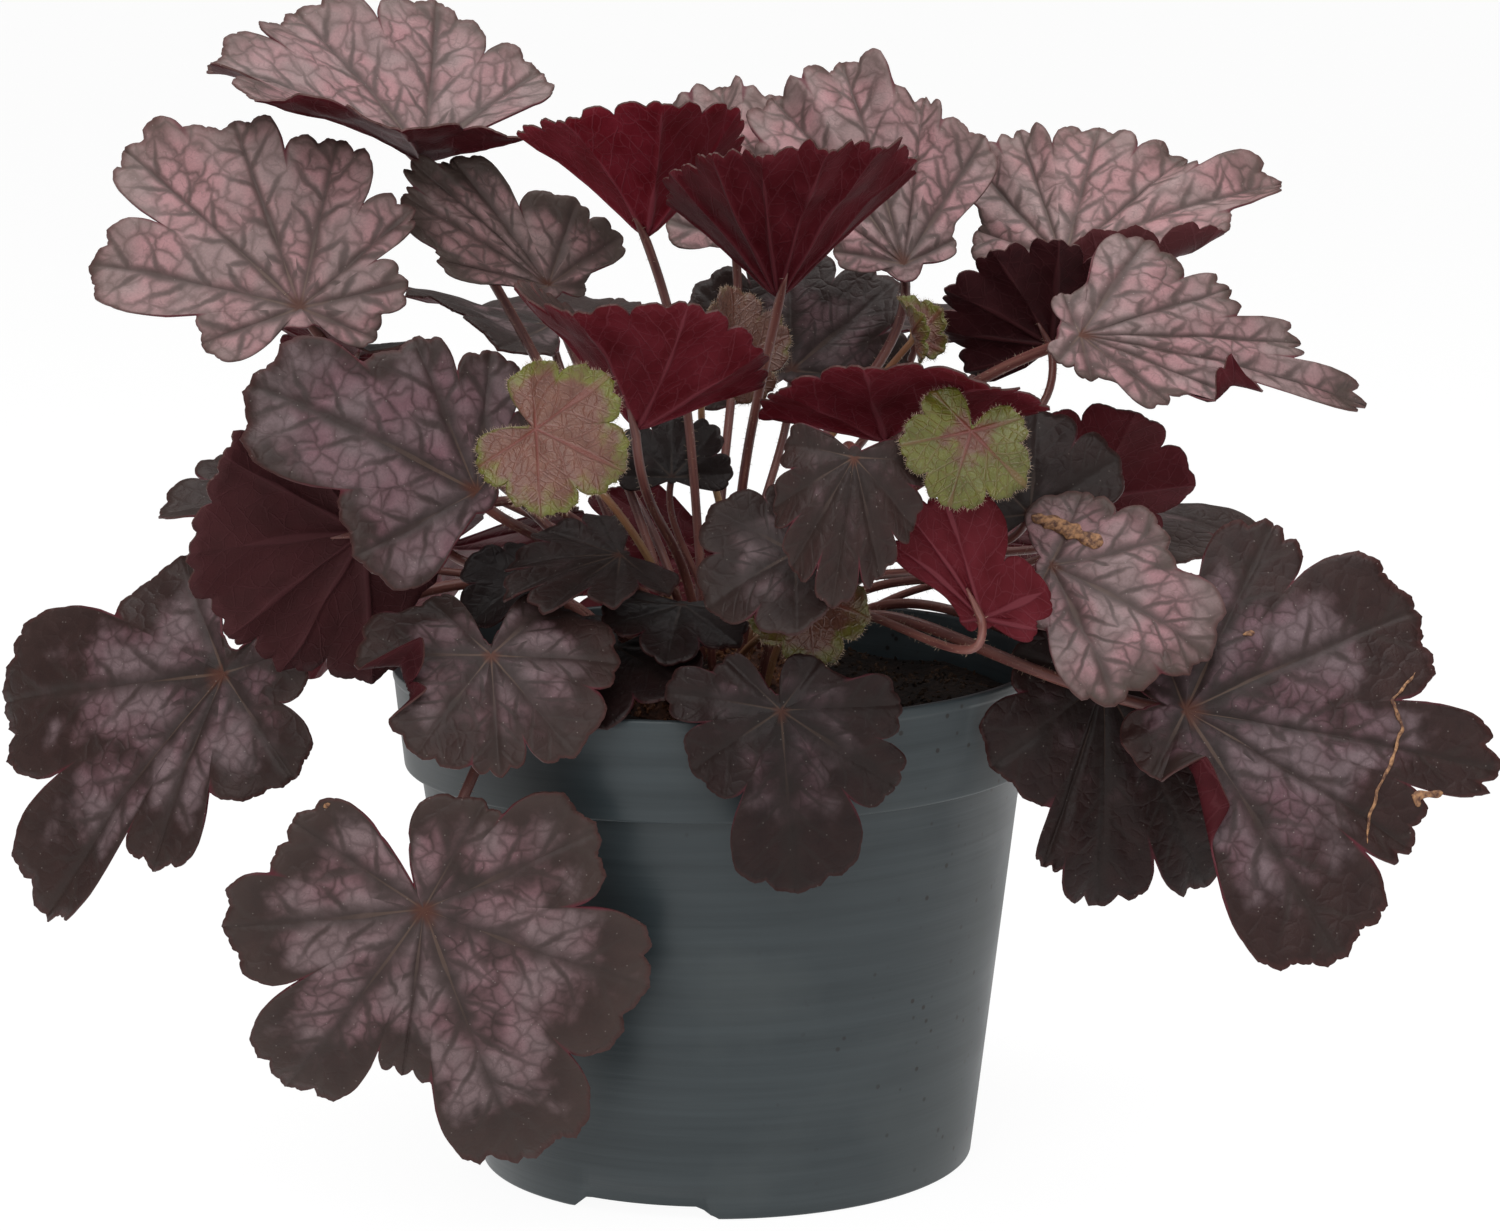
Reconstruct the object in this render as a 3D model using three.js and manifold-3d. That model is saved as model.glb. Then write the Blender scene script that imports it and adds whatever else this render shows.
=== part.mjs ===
// Heuchera (coral bells) growing in a round 17 cm nursery pot.
// Every leaf, blade and stalk in one, is a solid of its own. It stands in a plain hole in the woody crown,
// which sits in the potting soil. Units are millimetres, +Z is up, and the origin is the centre of the foot.
import * as THREE from "three";
import { mergeVertices } from "three/addons/utils/BufferGeometryUtils.js";
import Module from "manifold-3d";

const wasm = await Module();
wasm.setup();

// Driving dimensions
const gap = 0.3; // clearance between pieces that touch
const pot = {
  height: 132,
  rimRadius: 85,
  collarHeight: 26, // the wider band below the rim
  collarFootRadius: 82.5,
  bodyTopRadius: 78.5, // just under the collar
  footRadius: 64.5,
  wall: 1.6,
  seatRadius: 31, // flat disc in the middle of the base
  channelHeight: 3.8, // the drain channel round it stands this far off the ground
  footRingWidth: 5,
  segments: 36,
};
const notch = { count: 3, firstDeg: -109.5, widthDeg: 30, height: 3.4 }; // breaks in the foot ring
const drain = { count: 6, radius: 5, circle: 46 };
const soil = { top: 121, edgeDip: 2.5, relief: 0.9, segments: 24 };
const crown = { radius: 30, bottom: 114, rise: 15, segments: 16 };
const rooting = { circle: 26.5, depth: 5, lean: 0.02 }; // where the stalks stand in the crown
const blade = { thickness: 0.7, sinusFloor: 0.09 };
const stalk = { sides: 4, ribReach: 9, ribRadius: 0.45 };
const goldenAngle = THREE.MathUtils.degToRad(137.508);

const rad = THREE.MathUtils.degToRad;
const vec = (a) => new THREE.Vector3(...a);

// --- solids --------------------------------------------------------------------------------------------

function solidOf(geometry) {
  const bare = geometry.clone();
  for (const name of ["normal", "uv"]) bare.deleteAttribute(name);
  const merged = mergeVertices(bare, 1e-4);
  return new wasm.Manifold(
    new wasm.Mesh({
      numProp: 3,
      vertProperties: new Float32Array(merged.attributes.position.array),
      triVerts: new Uint32Array(merged.index.array),
    }),
  );
}

function geometryOf(solid) {
  const mesh = solid.getMesh();
  return new THREE.BufferGeometry()
    .setAttribute("position", new THREE.BufferAttribute(new Float32Array(mesh.vertProperties), 3))
    .setIndex(new THREE.BufferAttribute(new Uint32Array(mesh.triVerts), 1));
}

function indexed(points, faces) {
  const geometry = new THREE.BufferGeometry().setFromPoints(points);
  geometry.setIndex(faces.flat());
  return geometry;
}

// A round body about Z from a profile of [radius, height] pairs that runs from the axis at the bottom
// round the outside to the axis at the top.
function turned(profile, segments) {
  const points = profile.map(([r, z]) => new THREE.Vector2(r, z));
  return new THREE.LatheGeometry(points, segments).rotateX(Math.PI / 2);
}

// --- leaf outline --------------------------------------------------------------------------------------

// A repeatable draw from -1 to 1.
function draw(seed, k) {
  const x = Math.sin(seed * 12.9898 + k * 78.233) * 43758.5453;
  return (x - Math.floor(x)) * 2 - 1;
}

// The angles of clefts and lobe tips in turn, from the basal notch on one side to the notch on the other:
// the leaf's own, or spread evenly.
function lobeTurns(leaf) {
  if (leaf.outline) return leaf.outline.map(([deg]) => rad(deg));
  const half = rad(leaf.spread) / leaf.lobes;
  return Array.from({ length: 2 * leaf.lobes + 1 }, (_, i) => half * (i - leaf.lobes));
}

// Where an angle falls in its lobe: -1 and 1 in the clefts, 0 at the lobe's tip.
function lobePhase(leaf, angle) {
  const turns = lobeTurns(leaf);
  const next = turns.findIndex((turn) => turn > angle);
  if (next === 0) return { index: 0, phase: -1 };
  if (next < 0) return { index: (turns.length - 3) / 2, phase: 1 };
  const share = (angle - turns[next - 1]) / (turns[next] - turns[next - 1]);
  return { index: Math.floor((next - 1) / 2), phase: next % 2 ? share - 1 : share };
}

// How long the blade is at an angle: each lobe's own length at its middle, between two lobes in the clefts.
function lobeLength(leaf, index, phase) {
  const along = THREE.MathUtils.clamp(index + phase / 2, 0, leaf.lobes - 1);
  const lower = Math.floor(along);
  const [from, to] = [lower, Math.min(lower + 1, leaf.lobes - 1)].map(
    (i) => leaf.lengths[i] ?? 1 + 0.06 * draw(leaf.seed, i),
  );
  return THREE.MathUtils.lerp(from, to, along - lower);
}

// The margin's distance from the stalk's joint, as a share of the leaf's size, with three scallops to a lobe.
function margin(leaf, angle) {
  const { index, phase } = lobePhase(leaf, angle);
  const arch = (1 - Math.abs(phase) ** 2.4) ** 0.5;
  const scallop = 0.05 * Math.abs(Math.cos(1.5 * Math.PI * phase)) ** 0.8;
  let edge;
  if (leaf.outline) {
    const [before, tip, after] = leaf.outline.slice(2 * index, 2 * index + 3).map(([, share]) => share);
    const cleft = phase < 0 ? before : after;
    edge = cleft + (tip * (0.97 + scallop) - cleft) * arch;
  } else {
    const body = 1 - leaf.basal * Math.sin(angle / 2) ** 2;
    edge = body * lobeLength(leaf, index, phase) * (1 - leaf.cut + leaf.cut * arch + scallop * arch);
  }
  const turns = lobeTurns(leaf);
  const end = angle < 0 ? -turns[0] : turns.at(-1);
  const fade = Math.min(rad(14), Math.PI - end);
  const notchShare = THREE.MathUtils.smoothstep(end + fade - Math.abs(angle), 0, fade);
  return blade.sinusFloor + (edge - blade.sinusFloor) * notchShare;
}

// The blade's rings from the joint out: the share of the way to the margin, and the stops across each lobe.
const rings = {
  fine: [
    { share: 0.33, stops: [0] },
    { share: 0.68, stops: [-1, -0.33, 0.33] },
    { share: 1, stops: [-1, -0.67, -0.33, 0, 0.33, 0.67] },
  ],
  own: [
    { share: 0.33, stops: [0] },
    { share: 0.68, stops: [-1, 0] },
    { share: 1, stops: [-1, -0.6, 0, 0.6] },
  ],
  lean: [
    { share: 0.6, stops: [-1, 0] },
    { share: 1, stops: [-1, -0.6, 0, 0.6] },
  ],
};

// The angles of one ring, from the basal notch round to the last cleft beside it.
function ringAngles(leaf, stops) {
  const turns = lobeTurns(leaf);
  const angles = [-Math.PI];
  for (let tip = 1; tip < turns.length; tip += 2)
    for (const stop of stops) {
      const next = turns[tip + Math.sign(stop)];
      angles.push(turns[tip] + Math.abs(stop) * (next - turns[tip]));
    }
  if (stops.includes(-1)) angles.push(turns.at(-1));
  return angles;
}

// --- leaf surface --------------------------------------------------------------------------------------

function leafAxes(leaf) {
  const tip = vec(leaf.tip).normalize();
  const top = vec(leaf.top);
  top.addScaledVector(tip, -top.dot(tip)).normalize();
  return { tip, top, side: new THREE.Vector3().crossVectors(tip, top) };
}

// A point of the flat leaf, u across and v along the midrib, placed on the curved one.
function onLeaf(leaf, u, v) {
  const angle = Math.atan2(u, v);
  const share = Math.hypot(u, v) / leaf.size;
  const { phase } = lobePhase(leaf, angle);
  u *= leaf.width;
  const swell = share * share * leaf.size;
  let w = -leaf.pleat * swell * Math.cos(Math.PI * phase);
  w += leaf.wave * swell * (0.6 * Math.sin(2 * angle + 3 * draw(leaf.seed, 21)));
  w += leaf.wave * swell * (0.4 * Math.sin(3 * angle + 3 * draw(leaf.seed, 22)));
  const slope = 1 / Math.hypot(1, leaf.funnel);
  w += leaf.funnel * slope * Math.hypot(u, v);
  u *= slope;
  v *= slope;
  for (const [towardsDeg, start, radius, turnDeg] of leaf.folds) {
    const [nu, nv] = [Math.sin(rad(towardsDeg)), Math.cos(rad(towardsDeg))];
    const past = u * nu + v * nv - start * leaf.size;
    if (past <= 0) continue;
    const turn = Math.min(past / radius, rad(Math.abs(turnDeg)));
    const flat = past - turn * radius;
    const shift = radius * Math.sin(turn) + flat * Math.cos(turn) - past;
    u += nu * shift;
    v += nv * shift;
    w = w * Math.cos(turn) + Math.sign(turnDeg) * (radius * (1 - Math.cos(turn)) + flat * Math.sin(turn));
  }
  const cup = rad(leaf.cup || 0.01) / leaf.size;
  const droop = rad(leaf.droop || 0.01) / leaf.size;
  const across = Math.sin(cup * u) / cup - w * Math.sin(cup * u);
  const height = (1 - Math.cos(cup * u)) / cup + w * Math.cos(cup * u);
  const along = (1 / droop + height) * Math.sin(droop * v);
  const up = (1 / droop + height) * Math.cos(droop * v) - 1 / droop;
  const { tip, top, side } = leafAxes(leaf);
  return vec(leaf.at).addScaledVector(side, across).addScaledVector(tip, along).addScaledVector(top, up);
}

// Triangles between two closed rings of points, each point with its angle, both from the basal notch.
function bridge(inner, outer) {
  const faces = [];
  const at = (ring, i) => ring[i % ring.length].index;
  const angle = (ring, i) => (i < ring.length ? ring[i].angle : Math.PI);
  let [i, o] = [0, 0];
  while (i < inner.length || o < outer.length) {
    const outerNext = i >= inner.length || (o < outer.length && angle(outer, o + 1) <= angle(inner, i + 1));
    if (outerNext) {
      faces.push([at(inner, i), at(outer, o), at(outer, o + 1)]);
      o++;
    } else {
      faces.push([at(inner, i), at(outer, o), at(inner, i + 1)]);
      i++;
    }
  }
  return faces;
}

// The blade as a thin closed shell: a fan of rings round the stalk's joint, split alike on both faces.
function bladeSolid(leaf) {
  const middle = [onLeaf(leaf, 0, 0)];
  let previous = null;
  const faces = [];
  const detail = leaf.outline ? rings.own : leaf.fine ? rings.fine : rings.lean;
  for (const { share, stops } of detail) {
    const ring = ringAngles(leaf, stops).map((angle) => {
      const reach = share * margin(leaf, angle) * leaf.size;
      const point = onLeaf(leaf, reach * Math.sin(angle), reach * Math.cos(angle));
      return { angle, index: middle.push(point) - 1 };
    });
    if (previous) faces.push(...bridge(previous, ring));
    else ring.forEach(({ index }, i) => faces.push([0, index, ring[(i + 1) % ring.length].index]));
    previous = ring;
  }
  const surface = indexed(middle, faces);
  surface.computeVertexNormals();
  const normals = surface.attributes.normal;
  const count = middle.length;
  const normal = (i) => new THREE.Vector3().fromBufferAttribute(normals, i);
  const points = [1, -1].flatMap((facing) =>
    middle.map((p, i) => p.clone().addScaledVector(normal(i), (facing * blade.thickness) / 2)),
  );
  const shell = [...faces, ...faces.map(([a, b, c]) => [a + count, c + count, b + count])];
  previous.forEach(({ index: a }, i) => {
    const b = previous[(i + 1) % previous.length].index;
    shell.push([a, a + count, b], [b, a + count, b + count]);
  });
  return solidOf(indexed(points, shell));
}

// --- stalks --------------------------------------------------------------------------------------------

// A closed round tube through points, with a radius at each.
function tube(points, radii, sides) {
  const last = points.length - 1;
  const tangents = points.map((_, i) =>
    new THREE.Vector3().subVectors(points[Math.min(i + 1, last)], points[Math.max(i - 1, 0)]).normalize(),
  );
  const across = new THREE.Vector3(1, 0.2, 0.1);
  const vertices = [];
  points.forEach((p, i) => {
    across.addScaledVector(tangents[i], -across.dot(tangents[i])).normalize();
    const other = new THREE.Vector3().crossVectors(tangents[i], across);
    for (let s = 0; s < sides; s++) {
      const turn = (2 * Math.PI * s) / sides;
      vertices.push(
        p.clone()
          .addScaledVector(across, radii[i] * Math.cos(turn))
          .addScaledVector(other, radii[i] * Math.sin(turn)),
      );
    }
  });
  const faces = [];
  for (let i = 0; i < last; i++)
    for (let s = 0; s < sides; s++) {
      const [a, b] = [i * sides + s, i * sides + ((s + 1) % sides)];
      faces.push([a, b, b + sides], [a, b + sides, a + sides]);
    }
  for (let s = 1; s < sides - 1; s++) {
    faces.push([0, s + 1, s], [last * sides, last * sides + s, last * sides + s + 1]);
  }
  return solidOf(indexed(vertices, faces));
}

const crownHeight = (r) => soil.top + crown.rise * (1 - (r / crown.radius) ** 2.2);

// Standing places in the crown, in a sunflower spiral. The further a leaf reaches, the further out it stands
// on its own side. Leaves then swap places while that brings the two nearer to where they should stand.
function giveRoots(leaves) {
  const out = (i) => rooting.circle * Math.sqrt((i + 0.5) / leaves.length);
  const byReach = [...leaves].sort((a, b) => Math.hypot(a.at[0], a.at[1]) - Math.hypot(b.at[0], b.at[1]));
  const wishes = byReach.map((leaf, i) => new THREE.Vector2(leaf.at[0], leaf.at[1]).setLength(out(i)));
  byReach.forEach((leaf, i) => {
    const turn = i * goldenAngle;
    leaf.root = new THREE.Vector2(Math.cos(turn), Math.sin(turn)).multiplyScalar(out(i));
  });
  const off = (i, j) => byReach[j].root.distanceToSquared(wishes[i]);
  for (let swapped = true; swapped; ) {
    swapped = false;
    for (let i = 0; i < byReach.length; i++)
      for (let j = 0; j < i; j++) {
        if (off(i, j) + off(j, i) > off(i, i) + off(j, j) - 1e-6) continue;
        [byReach[i].root, byReach[j].root] = [byReach[j].root, byReach[i].root];
        swapped = true;
      }
  }
}

function rootFrame(leaf) {
  const { x, y } = leaf.root;
  return {
    foot: new THREE.Vector3(x, y, crownHeight(Math.hypot(x, y))),
    axis: new THREE.Vector3(x * rooting.lean, y * rooting.lean, 1).normalize(),
  };
}

const stalkRadius = (leaf) => 0.75 + 0.01 * leaf.size;

// The stalk rises from the crown, bends over to the blade and runs on under the midrib.
function stalkSolid(leaf) {
  const { foot, axis } = rootFrame(leaf);
  const { tip, top } = leafAxes(leaf);
  const radius = stalkRadius(leaf);
  const usual = tip.clone().multiplyScalar(0.6).addScaledVector(top, 0.8);
  const arrive = leaf.arrive ? vec(leaf.arrive).normalize() : usual;
  const below = (v, r) => onLeaf(leaf, 0, v).addScaledVector(top, -blade.thickness / 2 - 0.5 * r);
  const end = below(0, radius);
  const run = foot.distanceTo(end);
  const start = foot.clone().addScaledVector(axis, 3);
  const curve = new THREE.CubicBezierCurve3(
    start,
    foot.clone().addScaledVector(axis, leaf.rise ?? run * 0.45),
    end.clone().addScaledVector(arrive, -(leaf.reach ?? run * 0.35)),
    end,
  );
  const ribs = [0.45, 1].map((share) => {
    const r = THREE.MathUtils.lerp(radius, stalk.ribRadius, share);
    return { point: below(share * Math.min(stalk.ribReach, leaf.size * 0.25), r), r };
  });
  const bottom = foot.clone().addScaledVector(axis, -rooting.depth);
  const points = [bottom, ...curve.getPoints(run > 70 ? 6 : 4), ...ribs.map((r) => r.point)];
  const radii = points.map((_, i) => radius * (i < points.length - 3 ? 1 : 0.95));
  ribs.forEach((rib, i) => (radii[points.length - 2 + i] = rib.r));
  return tube(points, radii, stalk.sides);
}

function rootHole(leaf) {
  const { foot, axis } = rootFrame(leaf);
  const ends = [-rooting.depth - gap, 4].map((d) => foot.clone().addScaledVector(axis, d));
  const radius = stalkRadius(leaf) + gap;
  return tube(ends, [radius, radius], stalk.sides);
}

// --- the leaves ----------------------------------------------------------------------------------------
// at: where the stalk meets the blade; tip: the way the midrib points; top: the way the upper face looks;
// size: joint to tip; outline: clefts and lobe tips in turn, [degrees from the midrib, share of size];
// cup: how far the sides rise, degrees; droop: how far the tip arches down, degrees;
// folds: [way from the tip in degrees, start as a share of size, bend radius, turn], the turn up if positive.
const leafDefaults = {
  lobes: 7,
  spread: 152,
  basal: 0.4,
  cut: 0.2,
  lengths: [],
  width: 1,
  cup: 20,
  droop: 20,
  funnel: 0,
  pleat: 0.05,
  wave: 0.08,
  folds: [],
  fine: false,
};
const leaves = [
  // hanging over the rim
  {
    name: "bottom_left", at: [-72, -92, 88], tip: [22, 4, -61], top: [-1, -9, 3], size: 65, cup: -10,
    arrive: [-3, -3, -9], reach: 88, rise: 30, fine: true, pleat: 0.035,
    outline: [
      [-170, 0.26], [-130, 0.46], [-120, 0.48], [-92, 0.7], [-69, 0.56], [-46, 0.9], [-22, 0.78],
      [2, 1.1], [19, 0.7], [28, 0.68], [38, 0.6], [55, 0.93], [80, 0.52], [104, 0.75], [124, 0.6],
      [145, 0.58], [172, 0.32],
    ],
  },
  {
    name: "front_centre", at: [15, -92, 136], tip: [4, -10, -44], top: [0, -9, 3], size: 44, cup: -35,
    arrive: [1, -8, 1], reach: 34, rise: 14, fine: true, pleat: 0.03,
    outline: [
      [-176, 0.12], [-138, 0.35], [-108, 0.46], [-87, 0.68], [-68, 0.58], [-51, 0.78], [-32, 0.6],
      [1, 1], [30, 0.48], [62, 0.6], [87, 0.42], [106, 0.66], [125, 0.45], [140, 0.42], [157, 0.14],
    ],
  },
  {
    name: "low_left", at: [-55, -80, 148], tip: [-1, -22, -24], top: [0, -8, 6], size: 34, cup: -15,
    fine: true, pleat: 0.03,
    outline: [
      [-167, 0.24], [-142, 0.72], [-118, 0.8], [-90, 0.9], [-71, 0.78], [-40, 0.96], [-22, 0.72],
      [-6, 0.9], [7, 0.85], [34, 0.9], [67, 0.7], [93, 0.98], [118, 0.86], [137, 0.7], [157, 0.15],
    ],
  },
  {
    name: "far_left", at: [-125, -36, 136], tip: [-42, -18, -60], top: [-3, -8, 4], size: 76, cup: -25,
    arrive: [-7, -3, -3], reach: 50, fine: true, pleat: 0.03,
    outline: [
      [-172, 0.14], [-140, 0.3], [-95, 0.24], [-68, 0.44], [-28, 0.4], [-11, 0.68], [1, 0.62],
      [10, 1.04], [31, 0.68], [56, 0.88], [86, 0.48], [122, 0.5], [141, 0.14],
    ],
  },
  {
    name: "right_low", at: [96, -49, 134], tip: [3, -12, -55], top: [2, -9, 3], size: 56, cup: -10,
    arrive: [7, -5, -3], reach: 20, rise: 40, pleat: 0.02,
    outline: [
      [-110, 0.3], [-75, 0.7], [-50, 0.75], [-26, 1.08], [-14, 0.84], [2, 1.02], [15, 0.86], [20, 0.87],
      [26, 0.62], [56, 0.63], [85, 0.4], [110, 0.42], [140, 0.2],
    ],
  },
  {
    name: "right_most", at: [114, -74, 131], tip: [70, -14, -18], top: [2, -8, 4], size: 74, cup: -10,
    arrive: [8, -3, -1], reach: 60, rise: 46, fine: true, pleat: 0.015,
    outline: [
      [-165, 0.2], [-125, 0.5], [-100, 0.5], [-82, 0.74], [-68, 0.6], [-43, 0.88], [-21, 0.72],
      [-8, 1.05], [1, 0.78], [14, 0.86], [22, 0.74], [42, 0.95], [64, 0.56], [100, 0.25], [165, 0.14],
    ],
  },
  { name: "brown_rim", at: [-25, -58, 145.5], tip: [-10, -28, -8], top: [0, -4, 8], size: 30, lobes: 5 },
  {
    name: "dark_front", at: [-9, -52, 155], tip: [-4, -28, -6], top: [0, -6, 8], size: 24, lobes: 5,
    spread: 110, reach: 20, rise: 14,
  },
  // left side
  {
    name: "wine_left", at: [-88, -49, 174], tip: [-34, -18, -2], top: [-2, 9, 2], size: 50, reach: 20,
    rise: 72, pleat: 0.02,
    outline: [
      [-120, 0.3], [-85, 0.62], [-70, 0.66], [-55, 0.84], [-46, 0.84], [-34, 0.95], [-20, 0.88],
      [-5, 0.98], [14, 0.86], [30, 0.84], [43, 0.72], [60, 0.8], [77, 0.7], [95, 0.82], [115, 0.6],
      [140, 0.5], [165, 0.15],
    ],
  },
  {
    name: "pink_left", at: [-58, -72, 187], tip: [-50, -14, 31], top: [1, -9, 4], size: 62, cup: 10,
    pleat: 0.03,
    outline: [
      [-90, 0.25], [-54, 0.56], [-26, 0.55], [1, 0.98], [22, 0.7], [42, 0.64], [55, 0.48], [70, 0.55],
      [90, 0.35], [105, 0.38], [130, 0.15],
    ],
  },
  {
    name: "upper_left", at: [-105, -15, 226], tip: [-37, 18, 47], top: [-1, -8, 5], size: 62, cup: 5,
    fine: true, pleat: 0.025,
    outline: [
      [-103, 0.12], [-73, 0.42], [-57, 0.43], [-38, 0.9], [-21, 0.68], [-9, 1.04], [4, 0.97], [17, 0.88],
      [31, 0.67], [47, 0.74], [67, 0.5], [84, 0.61], [94, 0.36], [113, 0.44], [131, 0.34], [149, 0.33],
      [167, 0.12],
    ],
  },
  { name: "under_left", at: [-94, 15, 210], tip: [6, -20, 10], top: [1, 3, 8], size: 26, lobes: 5 },
  {
    name: "top_left", at: [-75.5, 24, 260], tip: [-50, 0, 8], top: [0, -2.5, 9], size: 60, spread: 150,
    cut: 0.18, cup: 0, funnel: 0.6, fine: true,
  },
  {
    name: "grey_top", at: [-43, 8, 228.5], tip: [-28, -4, 30], top: [2, -8, 3], size: 44, width: 0.8,
    cup: 20, pleat: 0.02,
    outline: [
      [-120, 0.1], [-70, 0.2], [-52, 0.3], [-38, 0.72], [-33, 0.76], [-14, 1], [-9, 0.98], [0, 1.07],
      [6, 0.96], [13, 0.93], [32, 0.5], [70, 0.64], [81, 0.58], [100, 0.66], [113, 0.38], [132, 0.26],
      [155, 0.1],
    ],
  },
  {
    name: "dark_left", at: [-47, -36, 159], tip: [-26, -20, -8], top: [0, -5, 8], size: 19, lobes: 5,
    reach: 20, rise: 40,
  },
  {
    name: "grey_left", at: [-24, -54, 168], tip: [-38, -22, -4], top: [1, -4, 9], size: 31, width: 0.7,
    spread: 115,
  },
  { name: "low_back_left", at: [-112, 5, 172], tip: [-26, -4, 4], top: [0, -3, 9], size: 32, lobes: 5 },
  // top
  {
    name: "wine_top", at: [-17, -15, 243], tip: [-16, -28, 6], top: [0, 2, 9], size: 45, spread: 150,
    cut: 0.08, cup: 0, funnel: 1, pleat: 0.025,
  },
  {
    name: "wine_crest", at: [16, -40, 230], tip: [10, -30, 6], top: [0, 2, 9], size: 54, cup: 0,
    funnel: 1, fine: true, pleat: 0.025,
    outline: [
      [-140, 0.3], [-112, 0.7], [-97, 0.72], [-76, 0.86], [-64, 0.83], [-48, 0.9], [-35, 0.87],
      [-18, 0.96], [-8, 0.92], [4, 0.98], [14, 0.89], [28, 0.9], [37, 0.84], [50, 0.85], [62, 0.77],
      [78, 0.79], [94, 0.71], [112, 0.7], [140, 0.3],
    ],
  },
  {
    name: "pale_top", at: [49, 15, 232], tip: [-23, 18, 46], top: [1, -8, 3], size: 56, width: 0.9,
    cup: 10, fine: true,
    outline: [
      [-80, 0.12], [-56, 0.35], [-42, 0.6], [-30, 0.9], [-23, 0.94], [-8, 1.1], [0, 1.06], [13, 1.12],
      [26, 0.94], [36, 0.87], [44, 0.76], [60, 0.78], [76, 0.4], [88, 0.3], [110, 0.1],
    ],
  },
  {
    name: "pale_behind", at: [5, 48, 236], tip: [-6, 18, 40], top: [0, -8, 3], size: 46,
    outline: [
      [-100, 0.15], [-66, 0.4], [-40, 0.62], [-16, 1.04], [-7, 1], [4, 1.06], [12, 0.97], [22, 0.96],
      [40, 0.66], [60, 0.6], [90, 0.2],
    ],
  },
  {
    name: "dark_behind", at: [20, 60, 199], tip: [0, 15, 34], top: [0, -8, 4], size: 38, lobes: 5,
    spread: 120,
  },
  {
    name: "frill_bud", at: [3, 6, 208], tip: [5, 0, 22], top: [5, -6, 0], size: 20, lobes: 5, cup: 60,
    young: true,
  },
  {
    name: "tiny_bud", at: [50, -48, 220], tip: [-3, 0, 14], top: [6, -3, 0], size: 11, lobes: 5,
    cup: 120, young: true,
  },
  // middle
  {
    name: "wine_middle", at: [-19, -65, 201], tip: [-14, -26, 10], top: [3, 3, 8], size: 47, spread: 145,
    cut: 0.08, cup: 0, funnel: 0.8, pleat: 0.025,
  },
  {
    name: "wine_right", at: [42, -56, 196], tip: [14, -24, 8], top: [0, 3, 8], size: 42, spread: 140,
    cup: 0, funnel: 0.3, cut: 0.1, pleat: 0.025,
  },
  {
    name: "young_bronze", at: [-42, -100, 206], tip: [18, -6, -8], top: [-1, -9, 2], size: 23, lobes: 5,
    cut: 0.2, arrive: [-1, -6, 2], reach: 28, rise: 45, young: true, fine: true,
  },
  {
    name: "young_lime", at: [61, -92, 203], tip: [-4, -6, -12], top: [1, -9, 4], size: 18, lobes: 5,
    cut: 0.2, arrive: [0, -6, 2], young: true,
  },
  {
    name: "young_low", at: [22, -77, 162], tip: [1, -10, -13], top: [0, -9, 5], size: 18, lobes: 5,
    arrive: [0, -6, 2], rise: 10, young: true,
  },
  {
    name: "dark_folded", at: [33, -98, 198], tip: [-5, -10, -33], top: [1, -9, 4], size: 34, width: 0.65,
    spread: 110, cup: -50, reach: 30,
  },
  {
    name: "dark_pink", at: [19, -84, 173], tip: [-20, -8, -8], top: [-1, -8, 6], size: 24, lobes: 5,
    rise: 52,
  },
  {
    name: "dark_middle", at: [-12, 8, 178], tip: [0, 8, 26], top: [0, -8, 3], size: 18, lobes: 5,
    spread: 110, arrive: [2, -2, 8],
  },
  // right side
  {
    name: "right_top", at: [91, 25, 231], tip: [52, 0, 28], top: [-2, -6, 7], size: 58, cup: 20,
    folds: [[85, 0.28, 6, 110]], fine: true,
    outline: [
      [-150, 0.2], [-122, 0.5], [-112, 0.6], [-100, 0.8], [-90, 0.77], [-82, 0.79], [-71, 0.66],
      [-55, 0.75], [-37, 0.68], [-23, 0.78], [-14, 0.78], [-1, 1.06], [11, 0.8], [30, 0.75], [50, 0.62],
      [75, 0.7], [100, 0.52], [125, 0.5], [150, 0.2],
    ],
  },
  {
    name: "far_right", at: [91, -36, 219], tip: [62, -6, -20], top: [3, -8, 5], size: 66, width: 0.9,
    cup: -20, pleat: 0.02,
    outline: [
      [-150, 0.1], [-122, 0.2], [-97, 0.3], [-77, 0.6], [-55, 0.55], [-44, 0.68], [-33, 0.66],
      [-25, 0.9], [-19, 0.86], [-13, 1.18], [-7, 0.7], [1, 0.72], [11, 0.5], [22, 0.42], [40, 0.27],
      [62, 0.2], [85, 0.15], [110, 0.16], [145, 0.1],
    ],
  },
  {
    name: "wine_far_right", at: [86, -5, 213], tip: [-15, -10, 28], top: [2, 8, 3], size: 31,
    spread: 105, cut: 0.12, rise: 66, pleat: 0.025,
  },
  {
    name: "right_wine", at: [64, -83.6, 156.5], tip: [-12, -1, 26], top: [1, 8, 3], size: 34, width: 0.8,
    cup: 30, pleat: 0.025,
    outline: [
      [-145, 0.1], [-119, 0.46], [-111, 0.47], [-90, 0.64], [-52, 0.5], [-13, 1], [-3, 0.96], [6, 1.08],
      [14, 0.93], [24, 0.88], [42, 0.4], [80, 0.2], [120, 0.1],
    ],
  },
  {
    name: "right_pale", at: [82, -60, 165], tip: [34, -28, -16], top: [-1, -6, 7], size: 43,
    outline: [
      [-155, 0.3], [-110, 0.55], [-80, 0.5], [-50, 0.68], [-33, 0.76], [-8, 1.06], [11, 0.98],
      [28, 0.98], [52, 0.5], [75, 0.45], [100, 0.2],
    ],
  },
  { name: "right_back_wine", at: [97, -4, 173], tip: [8, -8, 22], top: [0, 7, 3], size: 28, lobes: 5 },
  {
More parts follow.
